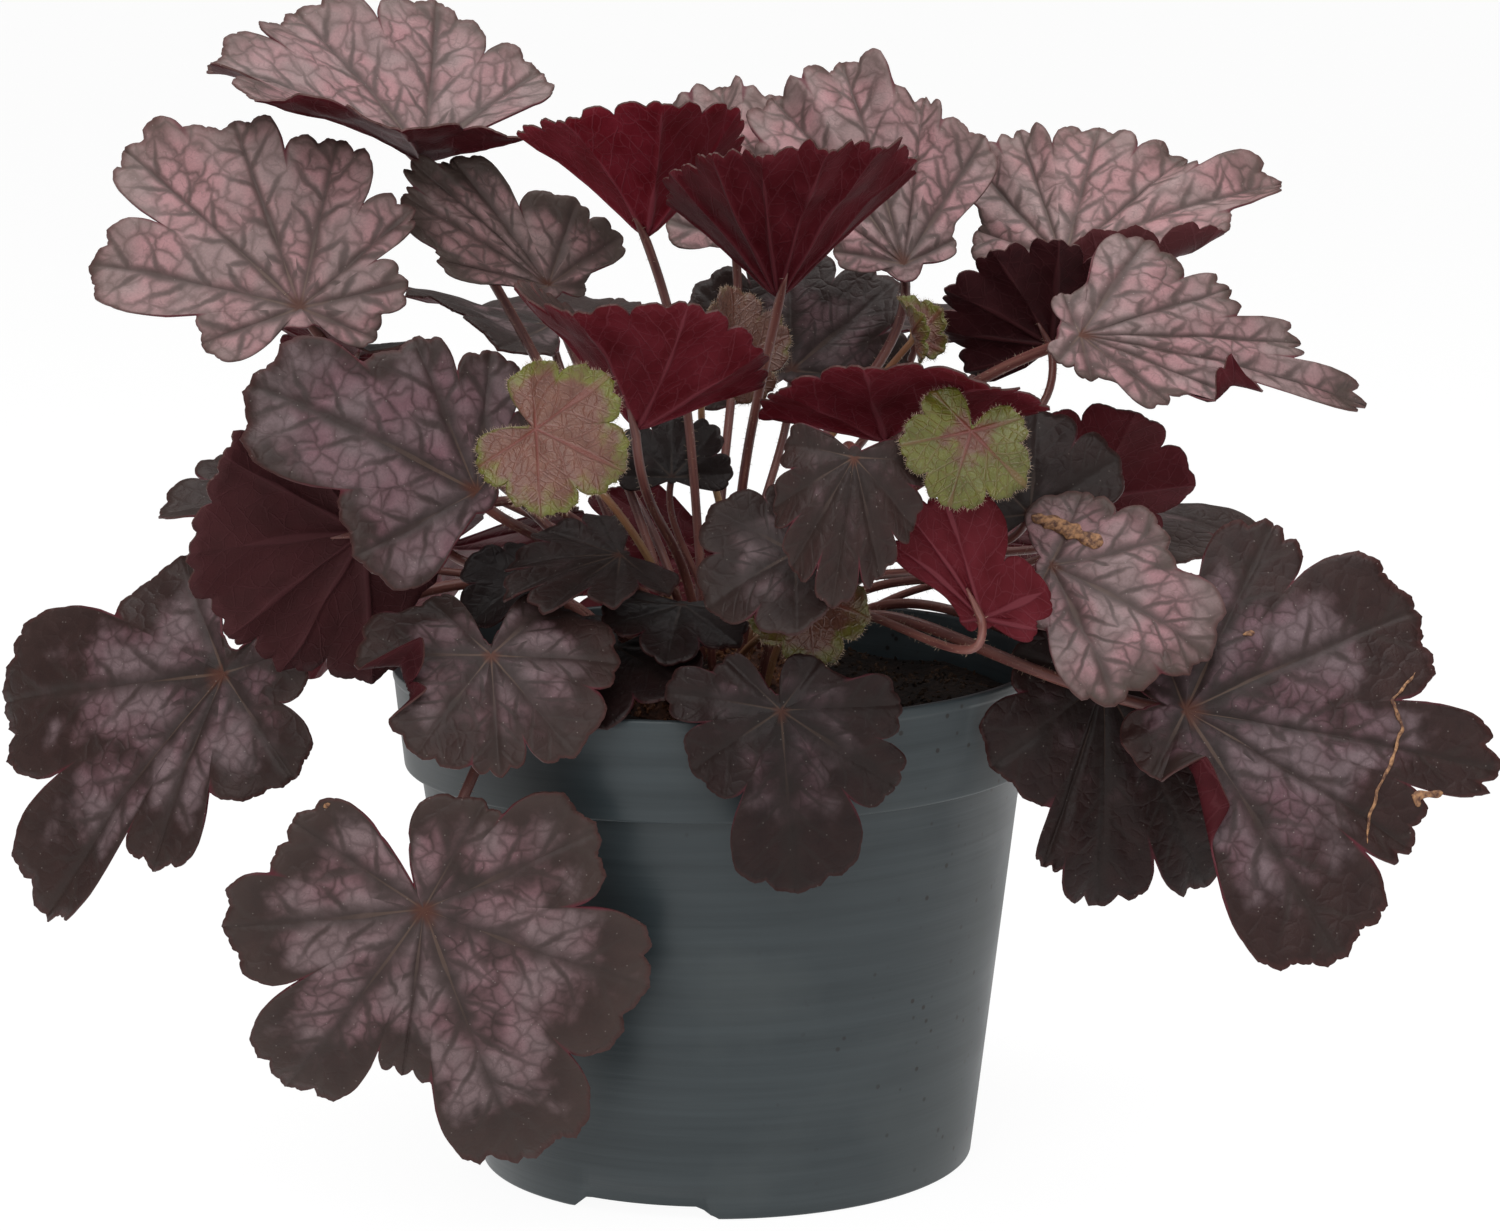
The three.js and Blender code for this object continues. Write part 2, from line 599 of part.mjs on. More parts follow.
    name: "right_roll", at: [103, 24, 166], tip: [42, -4, 0], top: [0, -2, 9], size: 42, lobes: 5,
    width: 0.6, cup: -80, rise: 50,
  },
  {
    name: "dark_by_lime", at: [78, -42, 175], tip: [4, 8, 28], top: [1, -8, 3], size: 28, lobes: 5,
    spread: 130,
  },
  // back
  { name: "back_left", at: [-75, 62, 152], tip: [-38, 25, -22], top: [-3, 4, 8], size: 58 },
  { name: "back_middle", at: [-2, 108, 140], tip: [0, 30, -45], top: [0, 8, 5], size: 56 },
  { name: "back_right", at: [75, 75, 150], tip: [35, 40, -25], top: [3, 4, 8], size: 56 },
  { name: "back_high_left", at: [-45, 62, 212], tip: [-25, 35, 10], top: [0, 1, 9], size: 42, lobes: 5 },
  { name: "back_high_right", at: [55, 80, 208], tip: [25, 35, 5], top: [0, 1, 9], size: 44, lobes: 5 },
];
leaves.forEach((leaf, i) => {
  leaf.seed = i + 1;
  for (const [key, value] of Object.entries(leafDefaults)) leaf[key] ??= value;
});
giveRoots(leaves);

// --- pot, soil and crown -------------------------------------------------------------------------------

// Pot radius outside at a height, below the collar.
const wallRadius = (z) =>
  THREE.MathUtils.mapLinear(z, 0, pot.height - pot.collarHeight, pot.footRadius, pot.bodyTopRadius);

function potSolid() {
  const collarFoot = pot.height - pot.collarHeight;
  const innerCollar = pot.collarFootRadius - pot.wall;
  const shell = solidOf(
    turned(
      [
        [0, 0],
        [pot.seatRadius, 0],
        [pot.seatRadius + 3, pot.channelHeight],
        [pot.footRadius - pot.footRingWidth, pot.channelHeight],
        [pot.footRadius - pot.footRingWidth, 0],
        [pot.footRadius - 1, 0],
        [pot.footRadius, 1.2],
        [wallRadius(collarFoot) - 0.2, collarFoot - 0.6],
        [pot.collarFootRadius, collarFoot],
        [pot.rimRadius - 0.3, pot.height - 2.5],
        [pot.rimRadius, pot.height - 1],
        [pot.rimRadius - 1, pot.height],
        [pot.rimRadius - 2.2, pot.height - 0.6],
        [innerCollar, collarFoot + 2.5],
        [wallRadius(collarFoot) - pot.wall, collarFoot - 2],
        [wallRadius(pot.channelHeight) - pot.wall, pot.channelHeight + pot.wall],
        [pot.seatRadius + 2.4, pot.channelHeight + pot.wall],
        [pot.seatRadius - 0.6, pot.wall],
        [0, pot.wall],
      ],
      pot.segments,
    ),
  );
  const cuts = [];
  for (let i = 0; i < notch.count; i++) {
    const turn = rad(notch.firstDeg + (i * 360) / notch.count);
    const half = pot.footRadius * Math.tan(rad(notch.widthDeg / 2));
    const outline = new THREE.Shape([
      new THREE.Vector2(-half - notch.height, -1),
      new THREE.Vector2(half + notch.height, -1),
      new THREE.Vector2(half - notch.height * 0.6, notch.height),
      new THREE.Vector2(-half + notch.height * 0.6, notch.height),
    ]);
    const block = new THREE.ExtrudeGeometry(outline, { depth: 14, bevelEnabled: false })
      .rotateX(Math.PI / 2)
      .translate(0, -(pot.footRadius - 10), 0)
      .rotateZ(turn + Math.PI / 2);
    cuts.push(solidOf(block));
  }
  for (let i = 0; i < drain.count; i++) {
    const turn = (2 * Math.PI * (i + 0.5)) / drain.count;
    cuts.push(
      solidOf(
        new THREE.CylinderGeometry(drain.radius, drain.radius, 8, 10)
          .rotateX(Math.PI / 2)
          .translate(drain.circle * Math.cos(turn), drain.circle * Math.sin(turn), pot.channelHeight),
      ),
    );
  }
  return cuts.reduce((body, cut) => body.subtract(cut), shell);
}

// The soil fills the pot to just under the rim, with a level seat for the crown.
function soilSolid() {
  const collarFoot = pot.height - pot.collarHeight;
  const inner = (z) => wallRadius(z) - pot.wall - gap;
  const floor = pot.channelHeight + pot.wall + gap;
  const edge = soil.top - soil.edgeDip;
  const geometry = turned(
    [
      [0, pot.wall + gap],
      [pot.seatRadius - 1, pot.wall + gap],
      [pot.seatRadius + 2, floor],
      [inner(floor) - 0.6, floor],
      [inner(collarFoot - 3), collarFoot - 3],
      [inner(collarFoot - 3), collarFoot + 1],
      [pot.collarFootRadius - pot.wall - 0.8, collarFoot + 4],
      [pot.collarFootRadius - pot.wall - 0.5, edge],
      [66, edge + 1.5],
      [48, soil.top],
      [crown.radius + gap + 0.2, soil.top - 0.5],
      [crown.radius + gap, crown.bottom - gap],
      [0, crown.bottom - gap],
    ],
    soil.segments,
  );
  const position = geometry.attributes.position;
  for (let i = 0; i < position.count; i++) {
    const [x, y, z] = [position.getX(i), position.getY(i), position.getZ(i)];
    const r = Math.hypot(x, y);
    if (z < edge - 0.1 || r < crown.radius + 1) continue;
    position.setZ(i, z + soil.relief * (Math.sin(x * 0.21 + 1) + Math.sin(y * 0.17 + x * 0.09)));
  }
  return solidOf(geometry);
}

function crownSolid() {
  const shares = [1, 0.9, 0.68, 0.4];
  const geometry = turned(
    [
      [0, crown.bottom],
      [crown.radius - 2, crown.bottom],
      ...shares.map((s) => [crown.radius * s, crownHeight(crown.radius * s)]),
      [0, crownHeight(0)],
    ],
    crown.segments,
  );
  return leaves.reduce((body, leaf) => body.subtract(rootHole(leaf)), solidOf(geometry));
}

// --- the plant in its pot ------------------------------------------------------------------------------

const finishes = {
  potPlastic: new THREE.MeshStandardMaterial({ color: 0x44525a, roughness: 0.5, metalness: 0 }),
  soil: new THREE.MeshStandardMaterial({ color: 0x1d1512, roughness: 0.95, metalness: 0 }),
  crownBark: new THREE.MeshStandardMaterial({ color: 0x4a2c22, roughness: 0.85, metalness: 0 }),
  leaf: new THREE.MeshStandardMaterial({ color: 0x4a3238, roughness: 0.55, metalness: 0 }),
  youngLeaf: new THREE.MeshStandardMaterial({ color: 0x8f8a3c, roughness: 0.55, metalness: 0 }),
};

const plant = new THREE.Group();
plant.name = "heuchera_in_pot";

function add(name, solid, material) {
  const mesh = new THREE.Mesh(geometryOf(solid), material);
  mesh.name = name;
  plant.add(mesh);
}

add("pot", potSolid(), finishes.potPlastic);
add("soil", soilSolid(), finishes.soil);
add("crown", crownSolid(), finishes.crownBark);
for (const leaf of leaves) {
  const finish = leaf.young ? finishes.youngLeaf : finishes.leaf;
  add("leaf_" + leaf.name, bladeSolid(leaf).add(stalkSolid(leaf)), finish);
}

export default plant;
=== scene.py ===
# Heuchera (coral bells) in a round nursery pot: fine leaves, pot, soil and studio around the fixed frame.
import functools
import math
import time
import bpy
import numpy as np
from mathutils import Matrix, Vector


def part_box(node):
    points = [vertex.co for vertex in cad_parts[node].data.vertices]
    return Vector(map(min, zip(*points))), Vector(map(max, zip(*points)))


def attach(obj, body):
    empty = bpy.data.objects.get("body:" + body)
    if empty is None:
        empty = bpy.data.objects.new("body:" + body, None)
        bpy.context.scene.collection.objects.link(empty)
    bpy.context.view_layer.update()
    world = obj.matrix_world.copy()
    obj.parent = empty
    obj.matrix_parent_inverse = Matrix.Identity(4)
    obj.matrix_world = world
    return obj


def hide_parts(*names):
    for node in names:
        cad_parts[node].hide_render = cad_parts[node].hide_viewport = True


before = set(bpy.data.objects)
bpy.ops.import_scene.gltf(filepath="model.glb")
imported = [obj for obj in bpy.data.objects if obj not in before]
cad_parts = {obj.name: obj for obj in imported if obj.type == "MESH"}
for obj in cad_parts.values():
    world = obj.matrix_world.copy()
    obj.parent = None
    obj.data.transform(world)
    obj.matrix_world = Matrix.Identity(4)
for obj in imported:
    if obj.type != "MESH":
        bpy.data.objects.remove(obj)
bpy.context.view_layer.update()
startTime = time.time()
mm = 0.001
root = "root"


def report(stage):
    print(f"{time.time() - startTime:6.1f} s  {stage}")


# ---- small helpers ----


def linearColour(hexCode):
    # sRGB hex to the linear values that shaders use
    parts = [int(hexCode[i : i + 2], 16) / 255 for i in (1, 3, 5)]
    return tuple(c / 12.92 if c <= 0.04045 else ((c + 0.055) / 1.055) ** 2.4 for c in parts) + (1.0,)


def setInputs(node, values):
    # in the order of the live inputs, or by their names: a link from an output or from a node's first live one,
    # a colour from its sRGB hex, or a plain value
    live = [socket for socket in node.inputs if socket.enabled]
    if isinstance(values, dict):
        live = [next(socket for socket in live if socket.name == name) for name in values]
        values = values.values()
    for socket, value in zip(live, values):
        if isinstance(value, bpy.types.Node):
            value = next(out for out in value.outputs if out.enabled)
        if isinstance(value, bpy.types.NodeSocket):
            socket.id_data.links.new(value, socket)
        else:
            socket.default_value = linearColour(value) if isinstance(value, str) else value


nodeModes = {  # the setting that a second word after the node's type fills
    "Math": "operation",
    "VectorMath": "operation",
    "MapRange": "interpolation_type",
    "Mix": "data_type",
    "TexVoronoi": "feature",
    "UVMap": "uv_map",
    "Attribute": "attribute_name",
    "FunctionNodeRandomValue": "data_type",
}


def addNode(tree, kind, *values, **settings):
    # one node, its settings and its inputs: values in turn, or one dictionary by name
    kind, _, mode = kind.partition(" ")
    node = tree.nodes.new(kind if "Node" in kind else "ShaderNode" + kind)
    if mode:
        settings[nodeModes[kind]] = mode
    for key, value in settings.items():
        setattr(node, key, value)
    setInputs(node, values[0] if values and isinstance(values[0], dict) else values)
    return node


def newMaterial(name):
    # gives a function that adds nodes to it, and one that sets its surface and returns it
    material = bpy.data.materials.new(name)
    material.use_nodes = True
    surface = next(node for node in material.node_tree.nodes if node.type == "BSDF_PRINCIPLED")
    add = functools.partial(addNode, material.node_tree)

    def finish(values, *relief):
        # relief: height, strength and depth in metres
        if relief:
            values["Normal"] = add("Bump", dict(zip(("Height", "Strength", "Distance"), relief)))
        setInputs(surface, values)
        return material

    return add, finish


def newObject(name, data):
    made = bpy.data.objects.new(name, data)
    bpy.context.scene.collection.objects.link(made)
    return made


def newPiece(name, points, faces, materials=(), faceMaterials=None, smooth=True):
    # a mesh object at the origin, points in millimetres; smooth is one value, or one for each face
    mesh = bpy.data.meshes.new(name)
    mesh.from_pydata((np.asarray(points, float) * mm).tolist(), [], faces)
    for material in materials:
        mesh.materials.append(material)
    if faceMaterials is not None:
        mesh.polygons.foreach_set("material_index", np.asarray(faceMaterials, dtype=np.int32))
    mesh.polygons.foreach_set("use_smooth", np.full(len(mesh.polygons), smooth))
    return newObject(name, mesh)


def setUv(mesh, name, values):
    mesh.uv_layers.new(name=name).data.foreach_set("uv", np.asarray(values, dtype=np.float32).ravel())


def setPointValue(mesh, name, values):
    mesh.attributes.new(name, "FLOAT", "POINT").data.foreach_set("value", np.asarray(values, dtype=np.float32))


def draw(seed, k):
    # a repeatable draw from -1 to 1
    x = math.sin(seed * 12.9898 + k * 78.233) * 43758.5453
    return (x - math.floor(x)) * 2 - 1


def ripple(seed, u, v, wavelength):
    # smooth noise from -1 to 1 as a sum of four waves in drawn directions
    total = 0
    for k in range(4):
        turn = math.pi * draw(seed, 31 + k)
        pace = 2 * math.pi / wavelength * (1 + 0.45 * draw(seed, 41 + k))
        total = total + np.sin((u * math.cos(turn) + v * math.sin(turn)) * pace + 3 * draw(seed, 51 + k))
    return total / 4


def unit(v):
    v = np.array(v, float)
    return v / np.linalg.norm(v)


def pathLengths(points):
    # how far along the path each point lies
    return np.concatenate([[0], np.cumsum(np.linalg.norm(np.diff(points, axis=0), axis=1))])


def smoothstep(x, low, high):
    t = np.clip((x - low) / (high - low), 0, 1)
    return t * t * (3 - 2 * t)


def vertexNormals(points, triangles):
    a, b, c = (points[triangles[:, i]] for i in range(3))
    flat = np.cross(b - a, c - a)
    normals = np.zeros_like(points)
    for i in range(3):
        np.add.at(normals, triangles[:, i], flat)
    return normals / np.maximum(np.linalg.norm(normals, axis=1, keepdims=True), 1e-9)


# ---- leaf form: the same rules as the frame's solids ----

plantSettings = {
    "bladeThickness": 0.5,
    "sinusFloor": 0.09,  # the margin's share of size in the notch at the stalk
    "sinusFade": 14,  # degrees
    "lobeUneven": 0.06,
    "scallop": 0.05,
    "tooth": (5.2, 0.022),  # width in mm, and depth as a share of the leaf's size
    "youngTooth": (3.2, 0.05),
    "columnDeg": 0.82,  # steps round the joint of a 60 mm leaf
    "fineColumnDeg": 0.6,
    "rings": 17,
    "stalkRadius": (0.75, 0.01),  # mm, and so much more for each mm of size
    "stalkFoot": (1.12, 1.12, 1.08, 1.04),  # how much thicker the lowest rings are
    "stalkSides": 10,
    "stalkSteps": 34,
    "crownTop": 121,
    "crownRise": 15,
    "crownRadius": 30,
    "rootCircle": 26.5,
    "rootDepth": 5,
    "rootLean": 0.02,
}

leafDefaults = {
    "lobes": 7,
    "spread": 152,
    "basal": 0.4,
    "cut": 0.2,
    "width": 1,
    "cup": 20,
    "droop": 20,
    "funnel": 0,
    "outline": (),
    "pleat": 0.05,
    "wave": 0.08,
    "ruffle": 0.02,
    "folds": [],
    "curls": [],
    "fine": False,
    "young": False,
    "pale": 0.3,
    "patch": 0.5,
    "wine": 0.5,
    "tone": 1,
    "dull": 0,
    "arrive": None,
    "rise": None,
    "reach": None,
}

# width: across, as a share; cup, droop: bend across and along in degrees; funnel: rise all round
# outline: (degrees from the midrib, percent of size), cleft and lobe tip in turn; without it the leaf has lobes
# spread over so many degrees either side, cut by that share and shorter near the stalk by basal
# pleat, wave, ruffle: folds along the lobes, slow waves and a frilled margin, as shares of size
# folds: (way from the tip in degrees, start, radius, turn in degrees); curls: the same for the margin between two
# more angles; fine: has a closer mesh
# pale, patch: how silvery and how widespread the marbling is; wine, dull: how bright and how brown the
# underside, its brightness partly the leaf's own red and partly painted light shining through the blade;
# tone: painted shade, how little the leaf is darkened towards black where it lies deep in the plant (1: not at
# all);
# arrive, reach, rise: the way the stalk comes in, and how straight it is at its top and foot


def form(name, at, tip, top, size, **own):
    # at: where the stalk meets the blade; tip: the way the midrib points; top: the way the upper face looks;
    # size: joint to tip
    return {**leafDefaults, "name": name, "at": at, "tip": tip, "top": top, "size": size, **own}


leafPieces = [
    # hanging over the rim
    form("bottom_left", (-72, -92, 88), (22, 4, -61), (-1, -9, 3), 65, cup=-10, arrive=(-3, -3, -9), reach=88,
        rise=30, fine=True, patch=0.68, wine=0.4, pleat=0.035, tone=0.94,
        outline=[(-170, 26), (-130, 46), (-120, 48), (-92, 70), (-69, 56), (-46, 90), (-22, 78), (2, 110),
        (19, 70), (28, 68), (38, 60), (55, 93), (80, 52), (104, 75), (124, 60), (145, 58), (172, 32)]),
    form("front_centre", (15, -92, 136), (4, -10, -44), (0, -9, 3), 44, cup=-35, arrive=(1, -8, 1), reach=34,
        rise=14, fine=True, pale=0.05, patch=0.48, wine=0.4, pleat=0.03, tone=0.6,
        outline=[(-176, 12), (-138, 35), (-108, 46), (-87, 68), (-68, 58), (-51, 78), (-32, 60), (1, 100),
        (30, 48), (62, 60), (87, 42), (106, 66), (125, 45), (140, 42), (157, 14)]),
    form("low_left", (-55, -80, 148), (-1, -22, -24), (0, -8, 6), 34, cup=-15, fine=True, pale=0.15, patch=0.6,
        wine=0.15, pleat=0.03, curls=[(70, 0.6, 1.2, 140, 56, 84)],
        outline=[(-167, 24), (-142, 72), (-118, 80), (-90, 90), (-71, 78), (-40, 96), (-22, 72), (-6, 90),
        (7, 85), (34, 90), (67, 70), (93, 98), (118, 86), (137, 70), (157, 15)]),
    form("far_left", (-125, -36, 136), (-42, -18, -60), (-3, -8, 4), 76, cup=-25, arrive=(-7, -3, -3),
        reach=50, fine=True, pale=0.15, patch=0.6, wine=0.45, pleat=0.03,
        outline=[(-172, 14), (-140, 30), (-95, 24), (-68, 44), (-28, 40), (-11, 68), (1, 62), (10, 104),
        (31, 68), (56, 88), (86, 48), (122, 50), (141, 14)]),
    form("right_low", (96, -49, 134), (3, -12, -55), (2, -9, 3), 56, cup=-10, arrive=(7, -5, -3), reach=20,
        rise=40, pale=0, patch=0.3, wine=0.3, pleat=0.02, tone=0.75,
        outline=[(-110, 30), (-75, 70), (-50, 75), (-26, 108), (-14, 84), (2, 102), (15, 86), (20, 87),
        (26, 62), (56, 63), (85, 40), (110, 42), (140, 20)]),
    form("right_most", (114, -74, 131), (70, -14, -18), (2, -8, 4), 74, cup=-10, arrive=(8, -3, -1), reach=60,
        rise=46, fine=True, pale=0.05, patch=0.62, wine=0.25, pleat=0.015,
        curls=[(135, 0.07, 1.4, 150, 66, 90)],
        outline=[(-165, 20), (-125, 50), (-100, 50), (-82, 74), (-68, 60), (-43, 88), (-21, 72), (-8, 105),
        (1, 78), (14, 86), (22, 74), (42, 95), (64, 56), (100, 25), (165, 14)]),
    form("brown_rim", (-25, -58, 145.5), (-10, -28, -8), (0, -4, 8), 30, lobes=5, pale=0, patch=0.1, wine=0.3,
        tone=0.45),
    form("dark_front", (-9, -52, 155), (-4, -28, -6), (0, -6, 8), 24, lobes=5, spread=110, reach=20, rise=14,
        pale=0, patch=0.15, wine=0.3, tone=0.45),
    # left side
    form("wine_left", (-88, -49, 174), (-34, -18, -2), (-2, 9, 2), 50, reach=20, rise=72, pale=0.2, patch=0.4,
        wine=0.4, pleat=0.02, dull=0.55,
        outline=[(-120, 30), (-85, 62), (-70, 66), (-55, 84), (-46, 84), (-34, 95), (-20, 88), (-5, 98),
        (14, 86), (30, 84), (43, 72), (60, 80), (77, 70), (95, 82), (115, 60), (140, 50), (165, 15)]),
    form("pink_left", (-58, -72, 187), (-50, -14, 31), (1, -9, 4), 62, cup=10, pale=0.15, patch=0.8, wine=0.4,
        pleat=0.03, tone=0.9,
        outline=[(-90, 25), (-54, 56), (-26, 55), (1, 98), (22, 70), (42, 64), (55, 48), (70, 55), (90, 35),
        (105, 38), (130, 15)]),
    form("upper_left", (-105, -15, 226), (-37, 18, 47), (-1, -8, 5), 62, cup=5, fine=True, pale=0.85, patch=1,
        wine=0.6, pleat=0.025,
        outline=[(-103, 12), (-73, 42), (-57, 43), (-38, 90), (-21, 68), (-9, 104), (4, 97), (17, 88),
        (31, 67), (47, 74), (67, 50), (84, 61), (94, 36), (113, 44), (131, 34), (149, 33), (167, 12)]),
    form("under_left", (-94, 15, 210), (6, -20, 10), (1, 3, 8), 26, lobes=5, pale=0.4, patch=0.6),
    form("top_left", (-75.5, 24, 260), (-50, 0, 8), (0, -2.5, 9), 60, spread=150, cut=0.18, cup=0, funnel=0.6,
        fine=True, pale=0.75, patch=0.95, wine=0.35),
    form("grey_top", (-43, 8, 228.5), (-28, -4, 30), (2, -8, 3), 44, width=0.8, pale=1, patch=0.75, wine=0.2,
        pleat=0.02,
        outline=[(-120, 10), (-70, 20), (-52, 30), (-38, 72), (-33, 76), (-14, 100), (-9, 98), (0, 107),
        (6, 96), (13, 93), (32, 50), (70, 64), (81, 58), (100, 66), (113, 38), (132, 26), (155, 10)]),
    form("dark_left", (-47, -36, 159), (-26, -20, -8), (0, -5, 8), 19, lobes=5, reach=20, rise=40, pale=0,
        patch=0.1, wine=0.2, tone=0.4),
    form("grey_left", (-24, -54, 168), (-38, -22, -4), (1, -4, 9), 31, width=0.7, spread=115, pale=0.1,
        patch=0.25, wine=0.4, tone=0.7),
    form("low_back_left", (-112, 5, 172), (-26, -4, 4), (0, -3, 9), 32, lobes=5),
    # top
    form("wine_top", (-17, -15, 243), (-16, -28, 6), (0, 2, 9), 45, spread=150, cut=0.08, cup=0, funnel=1,
        pale=0.5, patch=0.7, wine=1, pleat=0.025),
    form("wine_crest", (16, -40, 230), (10, -30, 6), (0, 2, 9), 54, cup=0, funnel=1, fine=True, pale=0.5,
        patch=0.7, pleat=0.025,
        outline=[(-140, 30), (-112, 70), (-97, 72), (-76, 86), (-64, 83), (-48, 90), (-35, 87), (-18, 96),
        (-8, 92), (4, 98), (14, 89), (28, 90), (37, 84), (50, 85), (62, 77), (78, 79), (94, 71), (112, 70),
        (140, 30)]),
    form("pale_top", (49, 15, 232), (-23, 18, 46), (1, -8, 3), 56, width=0.9, cup=10, fine=True, pale=0.8,
        patch=1, wine=0.6,
        outline=[(-80, 12), (-56, 35), (-42, 60), (-30, 90), (-23, 94), (-8, 110), (0, 106), (13, 112),
        (26, 94), (36, 87), (44, 76), (60, 78), (76, 40), (88, 30), (110, 10)]),
    form("pale_behind", (5, 48, 236), (-6, 18, 40), (0, -8, 3), 46, pale=1, patch=1, wine=0.6,
        outline=[(-100, 15), (-66, 40), (-40, 62), (-16, 104), (-7, 100), (4, 106), (12, 97), (22, 96),
        (40, 66), (60, 60), (90, 20)]),
    form("dark_behind", (20, 60, 199), (0, 15, 34), (0, -8, 4), 38, lobes=5, spread=120, pale=0.25, patch=0.6,
        wine=0.4, tone=0.75),
    form("frill_bud", (3, 6, 208), (5, 0, 22), (5, -6, 0), 20, lobes=5, cup=60, young=True, pale=-0.1,
        tone=0.7),
    form("tiny_bud", (50, -48, 220), (-3, 0, 14), (6, -3, 0), 11, lobes=5, cup=120, young=True, pale=0.1),
    # middle
    form("wine_middle", (-19, -65, 201), (-14, -26, 10), (3, 3, 8), 47, spread=145, cut=0.08, cup=0,
        funnel=0.8, pale=0.4, patch=0.6, wine=0.65, pleat=0.025),
    form("wine_right", (42, -56, 196), (14, -24, 8), (0, 3, 8), 42, spread=140, cup=0, funnel=0.3, pale=0.4,
        patch=0.6, wine=0.65, cut=0.1, pleat=0.025),
    form("young_bronze", (-42, -100, 206), (18, -6, -8), (-1, -9, 2), 23, lobes=5, arrive=(-1, -6, 2),
        reach=28, rise=45, young=True, fine=True, pale=0.08, ruffle=0.09),
    form("young_lime", (61, -92, 203), (-4, -6, -12), (1, -9, 4), 18, lobes=5, arrive=(0, -6, 2), young=True,
        pale=0.58, ruffle=0.06, tone=0.85),
    form("young_low", (22, -77, 162), (1, -10, -13), (0, -9, 5), 18, lobes=5, arrive=(0, -6, 2), rise=10,
        young=True, pale=0.1, ruffle=0.06, tone=0.55),
    form("dark_folded", (33, -98, 198), (-5, -10, -33), (1, -9, 4), 34, width=0.65, spread=110, cup=-50,
        reach=30, pale=0.12, patch=0.42, wine=0.4),
    form("dark_pink", (19, -84, 173), (-20, -8, -8), (-1, -8, 6), 24, lobes=5, rise=52, pale=0.25, tone=0.7),
    form("dark_middle", (-12, 8, 178), (0, 8, 26), (0, -8, 3), 18, lobes=5, spread=110, arrive=(2, -2, 8),
        pale=0.1, patch=0.3, wine=0.3, tone=0.35),
    # right side
    form("right_top", (91, 25, 231), (52, 0, 28), (-2, -6, 7), 58, folds=[(85, 0.28, 6, 110)], fine=True,
        pale=0.95, patch=1, wine=0.6, dull=0.5,
        outline=[(-150, 20), (-122, 50), (-112, 60), (-100, 80), (-90, 77), (-82, 79), (-71, 66), (-55, 75),
        (-37, 68), (-23, 78), (-14, 78), (-1, 106), (11, 80), (30, 75), (50, 62), (75, 70), (100, 52),
        (125, 50), (150, 20)]),
    form("far_right", (91, -36, 219), (62, -6, -20), (3, -8, 5), 66, width=0.9, cup=-20, pale=0.75, patch=0.92,
        wine=0.3, pleat=0.02, curls=[(25, 0.5, 2.5, 150, -3, 18)],
        outline=[(-150, 10), (-122, 20), (-97, 30), (-77, 60), (-55, 55), (-44, 68), (-33, 66), (-25, 90),
        (-19, 86), (-13, 118), (-7, 70), (1, 72), (11, 50), (22, 42), (40, 27), (62, 20), (85, 15), (110, 16),
        (145, 10)]),
    form("wine_far_right", (86, -5, 213), (-15, -10, 28), (2, 8, 3), 31, spread=105, cut=0.12, rise=66,
        pale=0.4, wine=0.1, pleat=0.025),
    form("right_wine", (64, -83.6, 156.5), (-12, -1, 26), (1, 8, 3), 34, width=0.8, pale=0.4, patch=0.6,
        wine=0.6, cup=30, pleat=0.025,
        outline=[(-145, 10), (-119, 46), (-111, 47), (-90, 64), (-52, 50), (-13, 100), (-3, 96), (6, 108),
        (14, 93), (24, 88), (42, 40), (80, 20), (120, 10)]),
    form("right_pale", (82, -60, 165), (34, -28, -16), (-1, -6, 7), 43, pale=0.55, patch=0.9,
        outline=[(-155, 30), (-110, 55), (-80, 50), (-50, 68), (-33, 76), (-8, 106), (11, 98), (28, 98),
        (52, 50), (75, 45), (100, 20)]),
    form("right_back_wine", (97, -4, 173), (8, -8, 22), (0, 7, 3), 28, lobes=5, wine=0.55, dull=0.2),
    form("right_roll", (103, 24, 166), (42, -4, 0), (0, -2, 9), 42, lobes=5, width=0.6, cup=-80, rise=50,
        pale=0.35, patch=0.4),
    form("dark_by_lime", (78, -42, 175), (4, 8, 28), (1, -8, 3), 28, lobes=5, spread=130, pale=0.1, patch=0.2,
        wine=0.3, tone=0.65),
    # back
    form("back_left", (-75, 62, 152), (-38, 25, -22), (-3, 4, 8), 58),
    form("back_middle", (-2, 108, 140), (0, 30, -45), (0, 8, 5), 56),
    form("back_right", (75, 75, 150), (35, 40, -25), (3, 4, 8), 56),
    form("back_high_left", (-45, 62, 212), (-25, 35, 10), (0, 1, 9), 42, lobes=5),
    form("back_high_right", (55, 80, 208), (25, 35, 5), (0, 1, 9), 44, lobes=5),
]
for number, leaf in enumerate(leafPieces, 1):
    leaf["seed"] = number


def lobeTurns(leaf):
    # the angles of clefts and lobe tips in turn, from notch to notch: the leaf's own, or spread evenly
    if leaf["outline"]:
        return np.radians([turn for turn, _ in leaf["outline"]])
    return math.radians(leaf["spread"]) / leaf["lobes"] * np.arange(-leaf["lobes"], leaf["lobes"] + 1)


def lobePhase(leaf, angle):
    # the lobe's number, and -1 and 1 in the clefts, 0 on its midrib
    turns = lobeTurns(leaf)
    place = np.interp(angle, turns, np.arange(len(turns)))
    index = np.clip(np.floor(place / 2), 0, (len(turns) - 3) / 2)
    return index, np.clip(place - 2 * index - 1, -1, 1)


def lobeLength(leaf, index, phase):
    lobes = np.arange(leaf["lobes"])
    lengths = [1 + plantSettings["lobeUneven"] * draw(leaf["seed"], i) for i in lobes]
    return np.interp(np.clip(index + phase / 2, 0, leaf["lobes"] - 1), lobes, lengths)


